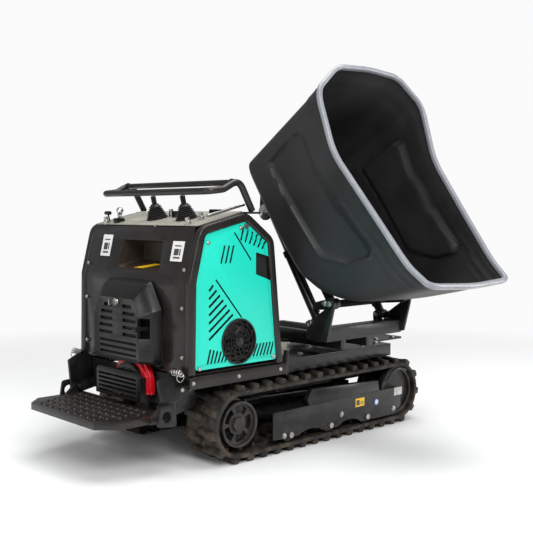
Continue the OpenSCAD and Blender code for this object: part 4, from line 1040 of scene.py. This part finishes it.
# ---- engine bay ----
def shroud():
    """Bulging rear shroud: a broad bevelled hood round a slotted face."""
    back = REAR - 0.002
    front = REAR - 0.070
    halves = [(back, [(0.206, 0.380), (0.206, 0.585), (0.142, 0.688)]),
              (front + 0.036, [(0.196, 0.382), (0.194, 0.578), (0.132, 0.668)]),
              (front + 0.004, [(0.152, 0.384), (0.150, 0.556), (0.112, 0.622)]),
              (front + 0.012, [(0.138, 0.392), (0.137, 0.548), (0.103, 0.607)])]
    dense = [(x, rounded_path([(-y, z) for y, z in half] + half[::-1], 0.020, 4, closed=True))
             for x, half in halves]
    n = len(dense[0][1])
    verts = [(x, p.x, p.y) for x, loop in dense for p in loop]
    faces = []
    for i in range(len(dense) - 1):
        faces += ring_faces(i * n, (i + 1) * n, n)
    faces.append(tuple((len(dense) - 1) * n + k for k in range(n)))
    hood = walled(new_object("engine_hood", verts, faces, "black_plastic"), 0.0035)
    slots = []
    for i in range(5):
        z = 0.592 - 0.027 * i
        half = 0.092 if i == 0 else 0.108 + 0.006 * min(i, 3)
        slots += [[(-half, z - 0.006), (-0.034, z - 0.006), (-0.034, z + 0.006), (-half, z + 0.006)],
                  [(0.034, z - 0.006), (half, z - 0.006), (half, z + 0.006), (0.034, z + 0.006)]]
    for i in range(3):
        z = 0.452 - 0.022 * i
        slots.append([(-0.122, z - 0.005), (0.122, z - 0.005), (0.122, z + 0.005), (-0.122, z + 0.005)])
    bars = [plate("bar", slot, front - 0.01, front + 0.03, "painted_shade_black", "yz", 0) for slot in slots]
    cut(hood, joined("bars", bars))
    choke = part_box("choke_lever")
    notch = cuboid("notch", (choke[0].x - 0.02, choke[0].y - 0.012, choke[0].z - 0.028),
                   (choke[1].x + 0.002, choke[1].y + 0.022, choke[1].z + 0.028), "painted_shade_black", 0)
    cut(hood, notch)
    bevelled(hood, 0.0012, 2, 28)
    seated(hood, "chassis", "black_plastic", "engine_shroud", angle=28)
    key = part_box("ignition_key")
    barrel = [(-0.012, 0.004), (-0.012, 0.0155), (0.004, 0.0155), (0.007, 0.0135), (0.011, 0.013),
              (0.0125, 0.0112), (0.0125, 0.0095), (0.009, 0.0090), (0.009, 0.004)]
    place = (front + 0.010, (key[0].y + key[1].y) / 2, 0.606)
    lock = turned("key_barrel", barrel, "steel", place, (-1, 0, 0), 32)
    seated(lock, "chassis", "steel", angle=30)
    # A near black sheet behind the slotted face: painted shade of the engine bay seen through the slots
    bay_shade = plate("grille_backing", [(-0.13, 0.40), (0.13, 0.40), (0.13, 0.605), (-0.13, 0.605)],
                    front + 0.022, front + 0.025, "painted_shade_black", "yz", 0)
    seated(bay_shade, "chassis", "black_plastic", angle=30)


def arch(half, low, spring, y, steps=20):
    """Outline in Y and Z of an arch: straight legs up to its spring line, then a half round."""
    points = [(y + half, low), (y + half, spring)]
    points += [(y + half * math.cos(math.pi * k / steps), spring + half * math.sin(math.pi * k / steps))
               for k in range(1, steps)]
    return points + [(y - half, spring), (y - half, low)]


def starter():
    """Red starter housing under the hood, its dark cup, and the slatted guard in front of both."""
    low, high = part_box("recoil_housing")
    y, back = (low.y + high.y) / 2, REAR - 0.002
    red = plate("housing", arch(0.121, 0.262, 0.292, y), back - 0.022, back, "red_plastic", "yz", 0.004)
    lip = plate("lip", arch(0.110, 0.262, 0.288, y), back - 0.031, back - 0.015, "red_plastic", "yz", 0.004)
    seated(joined("starter_housing", [red, lip]), "chassis", "red_plastic", "recoil_housing", angle=35)
    cup = plate("cup", arch(0.094, 0.262, 0.284, y), back - 0.046, back - 0.028, "black_plastic", "yz", 0.005)
    for r in (0.074, 0.050):
        groove = plate("groove", arch(r, 0.20, 0.284, y), back - 0.060, back - 0.0425, "painted_shade_black", "yz", 0)
        core = arch(r - 0.005, 0.19, 0.284, y)
        core = plate("core", core, back - 0.07, back - 0.03, "painted_shade_black", "yz", 0)
        cut(cup, cut(groove, core))
    seated(cup, "chassis", "black_plastic", angle=35)
    low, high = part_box("lower_grille")
    front = min(low.x, back - 0.062)
    face = [(-0.150, low.z), (0.150, low.z), (0.150, 0.328), (0.132, 0.346), (-0.132, 0.346), (-0.150, 0.328)]
    guard = plate("guard", face, front, front + 0.008, "black_plastic", "yz", 0.003)
    slots = [plate("slot", [(-0.128, z), (0.128, z), (0.128, z + 0.0085), (-0.128, z + 0.0085)],
                   front - 0.02, front + 0.03, "painted_shade_black", "yz", 0)
             for z in [low.z + 0.012 + 0.0165 * i for i in range(int((0.332 - low.z) / 0.0165))]]
    cut(guard, joined("slots", slots))
    sides = [cuboid("side", (front, s * 0.144 - 0.004, low.z), (high.x, s * 0.144 + 0.004, 0.328),
                    "black_plastic", 0.002) for s in (-1, 1)]
    seated(joined("slatted_guard", [guard, *sides]), "chassis", "black_plastic", "lower_grille", angle=35)
    splash = cuboid("splash_plate", (REAR + 0.012, -0.292, 0.264), (REAR + 0.016, 0.292, 0.348),
                    "black_paint")
    seated(splash, "chassis", "black_paint", angle=30)


class DUMPER_OT_engine_bay(bpy.types.Operator):
    """Engine hood with its slots, the starter and the key barrel"""
    bl_idname = "dumper.engine_bay"
    bl_label = "Engine bay"

    def execute(self, context):
        shroud()
        starter()
        return {"FINISHED"}


# ---- controls ----
def console_place(x, y, up=0.0):
    """Point above the sloping console and the console's own upward direction."""
    tilt = math.atan(CONSOLE_SLOPE)
    normal = Vector((-math.sin(tilt), 0, math.cos(tilt)))
    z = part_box("side_frame_right")[1].z - 0.055 + (x - REAR - 0.054) * CONSOLE_SLOPE
    return Vector((x, y, z)) + normal * up, normal


LEVERS = {"drive_lever_right": (REAR + 0.160, -0.152), "drive_lever_left": (REAR + 0.160, 0.038)}


def boots():
    sizes = bpy.context.scene.dumper_sizes
    parts = []
    for x, y in LEVERS.values():
        place, normal = console_place(x, y)
        outline = [(0.0005, 0.030), (0.0005, 0.041), (0.004, 0.042)]
        for i in range(sizes.folds):
            r = 0.0425 - 0.0030 * i
            z = 0.005 + 0.0075 * i
            outline += [(z, r - 0.0062), (z + 0.0024, r), (z + 0.0042, r + 0.0002), (z + 0.0064, r - 0.0060)]
        outline += [(0.060, 0.0170), (0.063, 0.0150), (0.063, 0.0118), (0.055, 0.0118)]
        parts.append(turned("boot", outline, "boot_rubber", place, normal, 44))
    seated(joined("bellows_boots", parts), "chassis", "boot_rubber", "lever_boots", angle=60)


def drive_levers():
    for name, (x, y) in LEVERS.items():
        place, normal = console_place(x, y)
        outline = [(-0.028, 0.0048), (0.064, 0.0048), (0.0642, 0.0085)]
        for i in range(5):
            z = 0.066 + 0.0052 * i
            outline += [(z, 0.0092), (z + 0.0016, 0.0108), (z + 0.0034, 0.0108)]
        outline += [(0.0935, 0.0100), (0.0958, 0.0075), (0.0962, 0.003)]
        grip = turned(f"{name}_grip", outline, "black_plastic", place, normal, 28)
        seated(grip, name, "black_plastic", name, angle=50)


def small_levers():
    place, normal = console_place(REAR + 0.110, 0.215)
    outline = [(-0.030, 0.0038), (0.030, 0.0038), (0.0305, 0.0065), (0.034, 0.0065)]
    outline += [(0.048 - 0.0148 * math.cos(math.radians(a)), 0.0148 * math.sin(math.radians(a)))
                for a in range(30, 176, 12)]
    knob = turned("tip_lever_knob", outline, "chrome_rod", place, normal, 32)
    seated(knob, "tip_lever", "chrome_rod", "tip_lever", angle=50)
    softened("throttle_lever", "black_plastic", 0.0015)
    parts = []
    for x, y, size in ((0.095, 0.215, 0.040), (0.205, -0.050, 0.055), (0.215, 0.130, 0.050),
                       (0.240, -0.230, 0.045)):
        place, _ = console_place(REAR + x, y)
        half = size / 2
        parts.append(cuboid("mount", place + Vector((-half, -half * 0.7, -0.006)),
                            place + Vector((half, half * 0.7, 0.012 + size * 0.2)), "black_paint", 0.003))
    boss = [(0.0, 0.004), (0.0, 0.012), (0.016, 0.012), (0.018, 0.009), (0.030, 0.0085), (0.031, 0.003)]
    for x, y in ((0.075, 0.275), (0.130, 0.255), (0.205, 0.000), (0.075, -0.270), (0.150, -0.255)):
        place, normal = console_place(REAR + x, y)
        parts.append(turned("boss", boss, "steel", place, normal, 20))
    seated(joined("console_fittings", parts), "chassis", "black_paint", angle=35)


def small_brackets():
    """Cable block and angle on the deck, and the sprung pins beside the platform."""
    x, z = REAR + 0.560, DECK_TOP
    parts = [cuboid("block", (x, -0.262, z), (x + 0.042, -0.226, z + 0.052), "console_paint", 0.003),
             cuboid("foot", (x - 0.050, -0.262, z), (x, -0.222, z + 0.006), "black_paint", 0.0015),
             cuboid("post", (x - 0.056, -0.262, z), (x - 0.050, -0.222, z + 0.044), "black_paint", 0.0015)]
    x, z = REAR - 0.034, 0.372
    for s in (-1, 1):
        y = s * 0.300
        coil = [(x + 0.0105 * math.cos(a), y + s * (0.014 + 0.0022 * a), z + 0.0105 * math.sin(a))
                for a in [2 * math.pi * k / 14 for k in range(14 * 4)]]
        parts.append(sweep("spring", coil, circle(0.0018, 8), "steel"))
        pin = [(0.0, 0.004), (0.0, 0.0062), (0.058, 0.0062), (0.062, 0.0045), (0.0625, 0.001)]
        parts.append(turned("pin", pin, "steel", (x, y, z), (0, s, 0), 20))
        ring = [(x + a, y + s * 0.060, z - 0.014 + b) for a, b in circle(0.016, 28)]
        parts.append(sweep("pull_ring", ring, circle(0.0016, 8), "steel", True))
    seated(joined("small_brackets", parts), "chassis", "steel", angle=40)


def handrail():
    radius = bpy.context.scene.dumper_sizes.rail
    y = (FRAME_OUT + FRAME_IN) / 2
    z = 1.027
    x = REAR
    half = [(x + 0.107, y - 0.004, z), (x + 0.175, y, z + 0.008), (x + 0.250, y, z + 0.046),
            (x + 0.318, y, 0.956)]
    path = half[::-1] + [(p[0], -p[1], p[2]) for p in half]
    rail = sweep("rail", rounded_path(path, 0.050, 9), circle(radius, 24), "frame_paint")
    cross = sweep("cross", [(x + 0.226, -y, z + 0.034), (x + 0.226, y, z + 0.034)], circle(0.0115, 20),
                  "frame_paint")
    parts = [rail, cross]
    collar = [(-0.004, 0.0125), (-0.003, 0.0150), (0.003, 0.0150), (0.004, 0.0125)]
    for s in (-1, 1):
        place = (x + 0.226, s * (y - 0.012), z + 0.034)
        parts.append(turned("weld", collar, "frame_paint", place, (0, s, 0), 24))
        parts.append(cuboid("foot", (x + 0.288, s * y - 0.020, 0.944), (x + 0.345, s * y + 0.020, 0.952),
                            "frame_paint", 0.002))
    seated(joined("bent_handrail", parts), "chassis", "frame_paint", "handrail", angle=45)
    path = [(x + 0.119, -0.327, 0.936), (x + 0.300, -0.327, 0.980)]
    bar = sweep("cable_guide", path, circle(0.006, 16), "steel")
    seated(bar, "chassis", "steel", angle=50)


class DUMPER_OT_controls(bpy.types.Operator):
    """Lever boots, levers, console fittings and the handrail"""
    bl_idname = "dumper.controls"
    bl_label = "Controls"

    def execute(self, context):
        boots()
        drive_levers()
        small_levers()
        handrail()
        return {"FINISHED"}


# ---- deck, platform and swivel ----
def platform_studs():
    """Raised collars round the drainage holes and small grip studs between them."""
    top = 0.214
    x1 = REAR - 0.042
    x0 = x1 - 0.270
    half = 0.285
    collars, studs = [], []
    for i in range(6):
        for j in range(-5, 6):
            x, y = x0 + 0.032 + 0.040 * i, 0.044 * j + (0 if i % 2 == 0 else 0.022)
            if abs(y) < half - 0.036 - max(0, 0.060 - 0.040 * i) and x < x1 - 0.014:
                collars.append(((x, y, top - 0.0005), (0, 0, 1), (1, 0, 0)))
                if abs(y + 0.022) < half - 0.045 - max(0, 0.060 - 0.040 * i):
                    studs.append(((x, y + 0.022, top - 0.0005), (0, 0, 1), (1, 0, 0)))
    ring = [(0.0, 0.0092), (0.0032, 0.0098), (0.0036, 0.0112), (0.0024, 0.0130), (0.0, 0.0145)]
    collar = turned("collar_copy", ring, "frame_paint", (0, 0, 0), (0, 0, 1), 20, closed=True)
    dome = [(0, 0.0062), (0.0018, 0.0056), (0.0029, 0.0036), (0.0032, 0.001)]
    dome = turned("stud_copy", dome, "frame_paint", (0, 0, 0), (0, 0, 1), 12)
    parts = [placed_copies("collars", collars, collar, "frame_paint"),
             placed_copies("studs", studs, dome, "frame_paint")]
    seated(joined("platform_grip", parts), "platform", "frame_paint", angle=50)


def hex_bolt(size, head):
    """Hex bolt head with a washer, standing up along Z."""
    n = 24
    verts = [(a, b, z) for z in (0.0, head * 0.18) for a, b in circle(size * 1.25, n)]
    faces = [tuple(range(n - 1, -1, -1)), tuple(range(n, 2 * n)), *ring_faces(0, n, n)]
    s = len(verts)
    for z, r in ((head * 0.16, size), (head * 0.88, size), (head, size * 0.86)):
        verts += [(a, b, z) for a, b in circle(r, 6)]
    faces += ring_faces(s, s + 6, 6) + ring_faces(s + 6, s + 12, 6)
    faces += [tuple(s + k for k in range(5, -1, -1)), tuple(s + 12 + k for k in range(6))]
    return new_object("bolt_copy", verts, faces, "steel")


def dome_bolt(size, head):
    outline = [(0, size * 1.2), (head * 0.2, size * 1.2), (head * 0.22, size), (head * 0.7, size * 0.86),
               (head, size * 0.45), (head, size * 0.1)]
    return turned("dome_copy", outline, "steel", (0, 0, 0), (0, 0, 1), 18)


def fasteners():
    """Bolts and rivets over the chassis, the cabinet and the turntable, one mesh for each body."""
    big, small, domes, table = [], [], [], []
    for s in (-1, 1):
        out = (0, s, 0)
        along = (1, 0, 0)
        y = s * FRAME_PLATE_Y
        for x, z in ((-0.399, 0.068), (-0.060, 0.102), (0.290, 0.075)):
            domes.append(((x, y, z), out, along))
        edge = inset(cab_shape(DECK_TOP), 0.050)
        for a, b, k in ((1, 2, 0.90), (2, 3, 0.88), (4, 5, 0.93), (0, 1, 0.06)):
            p = edge[a] + (edge[b] - edge[a]) * k
            small.append(((p.x, s * (PANEL_OUT + 0.0045), p.y), out, along))
        for z in (0.42, 0.60, 0.74):
            place = (REAR + 0.0045 + max(0, z - 0.697) * 0.24, s * (FRAME_IN - 0.014), z)
            small.append((place, (-1, 0, 0), (0, 1, 0)))
        for x in (REAR + 0.02, REAR + 0.24, REAR + 0.46):
            small.append(((x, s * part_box("side_rails")[1].y, DECK_TOP - 0.030), out, along))
        for x in (REAR + 0.05, REAR + 0.012):
            small.append(((x, s * 0.312, 0.30), out, along))
        for x, z in ((-0.378, 0.500), (-0.470, 0.590)):
            table.append(((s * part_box("turntable")[1].x, x, z), (s, 0, 0), (0, 1, 0)))
        for x in (0.379, 0.499):
            big.append(((x, s * 0.215, DECK_TOP), (0, 0, 1), along))
        for x in (-0.30, -0.20, 0.20, 0.29):
            big.append(((x, s * 0.285, DECK_TOP), (0, 0, 1), along))
    for k in range(18):
        a = 2 * math.pi * (k + 0.5) / 18
        small.append(((0.138 * math.cos(a), 0.138 * math.sin(a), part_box("slewing_ring")[1].z - 0.0112),
                      (0, 0, 1), (math.cos(a), math.sin(a), 0)))
    parts = [placed_copies("big", big, hex_bolt(0.011, 0.008), "steel"),
             placed_copies("small", small, hex_bolt(0.0062, 0.005), "steel"),
             placed_copies("domes", domes, dome_bolt(0.010, 0.0075), "steel")]
    seated(joined("chassis_bolts", parts), "chassis", "steel", angle=35)
    caps = placed_copies("turntable_bolts", table, hex_bolt(0.010, 0.007), "steel")
    seated(caps, "turntable", "steel", angle=35)


class DUMPER_OT_deck(bpy.types.Operator):
    """Deck, platform, chassis and the brackets behind the cabinet"""
    bl_idname = "dumper.deck"
    bl_label = "Deck and platform"

    def execute(self, context):
        softened("deck_plate", "black_paint", 0.002)
        softened("chassis_frame", "black_paint", 0.002)
        softened("side_rails", "frame_paint", 0.002)
        softened("rear_carrier", "black_paint", 0.002)
        small_brackets()
        softened("platform", "frame_paint", 0.0012)
        platform_studs()
        return {"FINISHED"}


class DUMPER_OT_swivel(bpy.types.Operator):
    """Turntable, tipping frame, cylinders and the slewing ring"""
    bl_idname = "dumper.swivel"
    bl_label = "Swivel and tip"

    def execute(self, context):
        softened("turntable", "black_paint", 0.002)
        softened("tipping_frame", "black_paint", 0.002)
        softened("slewing_ring", "steel", 0.0012)
        softened("ram_barrels", "black_paint", 0.0012, 35)
        softened("ram_rods", "chrome_rod", 0.0008, 35)
        softened("pivot_pins", "steel", 0.0012)
        return {"FINISHED"}


class DUMPER_OT_fasteners(bpy.types.Operator):
    """Bolt heads and rivets"""
    bl_idname = "dumper.fasteners"
    bl_label = "Fasteners"

    def execute(self, context):
        fasteners()
        return {"FINISHED"}


# ---- labels ----
def label(name, corners, fill, lift):
    """A thin blank label with four corners in space, lifted off its surface."""
    a, b, c, d = (Vector(p) for p in corners)
    normal = (b - a).cross(d - a).normalized() * lift
    verts = [p + normal for p in (a, b, c, d)] + [a, b, c, d]
    faces = [(0, 1, 2, 3), (7, 6, 5, 4)] + [(k, 4 + k, 4 + (k + 1) % 4, (k + 1) % 4) for k in range(4)]
    return outward(new_object(name, verts, faces, fill))


def rear_point(y, z, out=0.0006):
    """Point on the rear sheet's tilted upper wall."""
    x0 = REAR + 0.008
    x = x0 + (z - 0.697) * 0.2399 if z < 0.845 else x0 + 0.0355 + (z - 0.845) * 0.225
    return (x - out, y, z)


def labels():
    parts = []
    for y0, y1, z0, z1 in ((0.250, 0.182, 0.772, 0.858), (-0.222, -0.292, 0.768, 0.842)):
        corners = [rear_point(y0, z0), rear_point(y1, z0), rear_point(y1, z1), rear_point(y0, z1)]
        parts.append(label("white", corners, "label_white", 0.0005))
        dy, dz = y1 - y0, z1 - z0
        for a0, a1, b0, b1 in ((0.22, 0.78, 0.14, 0.22), (0.22, 0.62, 0.30, 0.62), (0.68, 0.78, 0.30, 0.62),
                               (0.22, 0.78, 0.74, 0.80)):
            spot = [rear_point(y0 + dy * a, z0 + dz * b, 0.0012)
                    for a, b in ((a0, b0), (a1, b0), (a1, b1), (a0, b1))]
            parts.append(label("mark", spot, "label_ink", 0.0004))
    strip = [(-0.828, 0.010, 0.7335), (-0.828, -0.040, 0.7335), (-0.770, -0.088, 0.7475),
             (-0.770, -0.044, 0.7475)]
    parts.append(label("strip", strip, "label_yellow", 0.001))
    y = -FRAME_PLATE_Y - 0.0004
    spot = [(0.030, y, 0.118), (0.088, y, 0.118), (0.088, y, 0.154), (0.030, y, 0.154)]
    parts.append(label("plate", spot, "label_yellow", 0.0006))
    for x0, x1, z0, z1 in ((0.036, 0.056, 0.124, 0.147), (0.062, 0.082, 0.126, 0.130),
                           (0.062, 0.082, 0.134, 0.138)):
        spot = [(x0, y - 0.0007, z0), (x1, y - 0.0007, z0), (x1, y - 0.0007, z1), (x0, y - 0.0007, z1)]
        parts.append(label("mark", spot, "label_ink", 0.0003))
    disc = [(0.0, 0.001), (0.0, 0.0150), (0.0007, 0.0150), (0.0009, 0.014), (0.0009, 0.001)]
    parts.append(turned("disc", disc, "label_blue", (0.170, y, 0.121), (0, -1, 0), 32))
    disc = [(0.0, 0.001), (0.0, 0.0105), (0.0013, 0.0105), (0.0014, 0.001)]
    parts.append(turned("disc", disc, "label_white", (0.170, y, 0.121), (0, -1, 0), 32))
    seated(joined("blank_labels", parts), "chassis", "teal_paint", angle=30)


class DUMPER_OT_labels(bpy.types.Operator):
    """Blank labels on the cabinet and the track frame"""
    bl_idname = "dumper.labels"
    bl_label = "Labels"

    def execute(self, context):
        labels()
        return {"FINISHED"}


# ---- finishes of the carried-over nodes, and the stage ----
class DUMPER_OT_finishes(bpy.types.Operator):
    """Gives every carried-over piece the finish of its own slot"""
    bl_idname = "dumper.finishes"
    bl_label = "Finishes"

    def execute(self, context):
        slots = {p["node"]: p["material_slot"] for p in frame["record"]["subparts"]}
        for node, obj in NODES.items():
            for slot in obj.material_slots:
                slot.material = MATERIALS[slots[node]]
        return {"FINISHED"}


def look_along(yaw, pitch, roll):
    """Camera rotation for a heading from +X towards +Y, a downward pitch and a roll, in degrees."""
    yaw, pitch, roll = (math.radians(a) for a in (yaw, pitch, roll))
    ahead = Vector((math.cos(yaw) * math.cos(pitch), math.sin(yaw) * math.cos(pitch), -math.sin(pitch)))
    right = Vector((math.sin(yaw), -math.cos(yaw), 0))
    up = right.cross(ahead)
    across = right * math.cos(roll) + up * math.sin(roll)
    upward = up * math.cos(roll) - right * math.sin(roll)
    level = Matrix((across, upward, -ahead)).transposed()
    return level.to_euler()


def fade_to_white(tree, surface, place):
    """The floor turns to plain white away from the machine, so it has no horizon."""
    far = tree.nodes.new("ShaderNodeVectorMath")
    far.operation = "LENGTH"
    tree.links.new(place, far.inputs[0])
    share = ranged(tree, far.outputs["Value"], 1.5, 3.6, 0, 1)
    white = tree.nodes.new("ShaderNodeEmission")
    white.inputs["Color"].default_value = (1, 1, 1, 1)
    white.inputs["Strength"].default_value = 0.96
    both = tree.nodes.new("ShaderNodeMixShader")
    tree.links.new(share, both.inputs[0])
    tree.links.new(surface.outputs[0], both.inputs[1])
    tree.links.new(white.outputs[0], both.inputs[2])
    output = next(n for n in tree.nodes if n.bl_idname == "ShaderNodeOutputMaterial")
    tree.links.new(both.outputs[0], output.inputs["Surface"])


def studio_world(scene):
    """White surroundings for the camera, and softer light from them on the machine."""
    world = bpy.data.worlds.new("studio")
    world.use_nodes = True
    tree = world.node_tree
    soft = tree.nodes["Background"]
    soft.inputs["Color"].default_value = (0.96, 0.98, 1.0, 1)
    soft.inputs["Strength"].default_value = 0.30
    white = tree.nodes.new("ShaderNodeBackground")
    white.inputs["Color"].default_value = (1, 1, 1, 1)
    white.inputs["Strength"].default_value = 0.96
    seen = tree.nodes.new("ShaderNodeLightPath")
    either = tree.nodes.new("ShaderNodeMixShader")
    tree.links.new(seen.outputs["Is Camera Ray"], either.inputs[0])
    tree.links.new(soft.outputs[0], either.inputs[1])
    tree.links.new(white.outputs[0], either.inputs[2])
    tree.links.new(either.outputs[0], tree.nodes["World Output"].inputs["Surface"])
    scene.world = world


def area_light(name, place, target, size, power):
    light = bpy.data.lights.new(name, "AREA")
    light.shape = "RECTANGLE"
    light.size, light.size_y = size
    light.energy = power
    obj = bpy.data.objects.new(name, light)
    obj.location = place
    obj.rotation_euler = (Vector(target) - Vector(place)).to_track_quat("-Z", "Y").to_euler()
    bpy.context.scene.collection.objects.link(obj)


class DUMPER_OT_stage(bpy.types.Operator):
    """Pale floor, soft light and the camera"""
    bl_idname = "dumper.stage"
    bl_label = "Stage"

    def execute(self, context):
        scene = context.scene
        material, tree, surface, place = shader("pale_floor")
        tint = mixed(tree, ranged(tree, noise(tree, place, 1.5), 0.3, 0.7, 0, 1),
                     (0.90, 0.90, 0.90), (0.93, 0.93, 0.93))
        tree.links.new(tint, surface.inputs["Base Color"])
        surface.inputs["Roughness"].default_value = 0.6
        fade_to_white(tree, surface, place)
        MATERIALS["pale_floor"] = material
        half = 14
        corners = [(-half, -half, 0), (half, -half, 0), (half, half, 0), (-half, half, 0)]
        floor = new_object("floor", corners, [(0, 1, 2, 3)], "pale_floor")
        scene.view_settings.view_transform = "Standard"
        studio_world(scene)
        area_light("key", (-2.6, -3.6, 3.4), (0, -0.2, 0.6), (2.6, 2.0), 150)
        area_light("rear_fill", (-4.6, -0.3, 1.8), (-0.6, 0, 0.7), (1.2, 1.8), 38)
        area_light("top", (0.2, -0.4, 4.6), (0, 0, 0.6), (3.6, 3.6), 190)
        area_light("edge", (2.8, -2.6, 1.6), (0, -0.4, 0.7), (1.0, 2.4), 45)
        camera = bpy.data.cameras.new("view")
        camera.sensor_width = 36
        camera.lens = 58.28
        camera.clip_end = 60
        view = bpy.data.objects.new("view", camera)
        view.location = (-2.76766, -2.78930, 0.93612)
        view.rotation_euler = look_along(46.55581, 3.34807, 0.2237169)
        scene.collection.objects.link(view)
        scene.camera = view
        return {"FINISHED"}


# ---- registering and running ----
OPERATORS = (DUMPER_OT_finishes, DUMPER_OT_skip, DUMPER_OT_tracks, DUMPER_OT_running_gear, DUMPER_OT_cabinet,
             DUMPER_OT_engine_bay, DUMPER_OT_controls, DUMPER_OT_deck, DUMPER_OT_swivel, DUMPER_OT_fasteners,
             DUMPER_OT_labels, DUMPER_OT_stage)


class DUMPER_PT_panel(bpy.types.Panel):
    """Lists the dumper's settings and pieces"""
    bl_idname = "DUMPER_PT_panel"
    bl_label = "Mini dumper"
    bl_space_type = "VIEW_3D"
    bl_region_type = "UI"
    bl_category = "Dumper"

    def draw(self, context):
        layout = self.layout
        for group in (context.scene.dumper_sizes, context.scene.dumper_colours):
            for name in group.bl_rna.properties.keys():
                if name not in ("rna_type", "name"):
                    layout.prop(group, name)
        for operator in OPERATORS:
            layout.operator(operator.bl_idname)


CLASSES = (DumperColours, DumperSizes, *OPERATORS, DUMPER_PT_panel)


def register():
    for item in CLASSES:
        bpy.utils.register_class(item)
    bpy.types.Scene.dumper_colours = PointerProperty(type=DumperColours)
    bpy.types.Scene.dumper_sizes = PointerProperty(type=DumperSizes)


def unregister():
    del bpy.types.Scene.dumper_sizes
    del bpy.types.Scene.dumper_colours
    for item in reversed(CLASSES):
        bpy.utils.unregister_class(item)


def main():
    register()
    make_materials(bpy.context.scene.dumper_colours)
    for operator in OPERATORS:
        group, name = operator.bl_idname.split(".")
        getattr(getattr(bpy.ops, group), name)()
    tree = bpy.data.node_groups.get("placed_copies")
    if tree:
        bpy.data.node_groups.remove(tree)


if __name__ == "__main__":
    main()
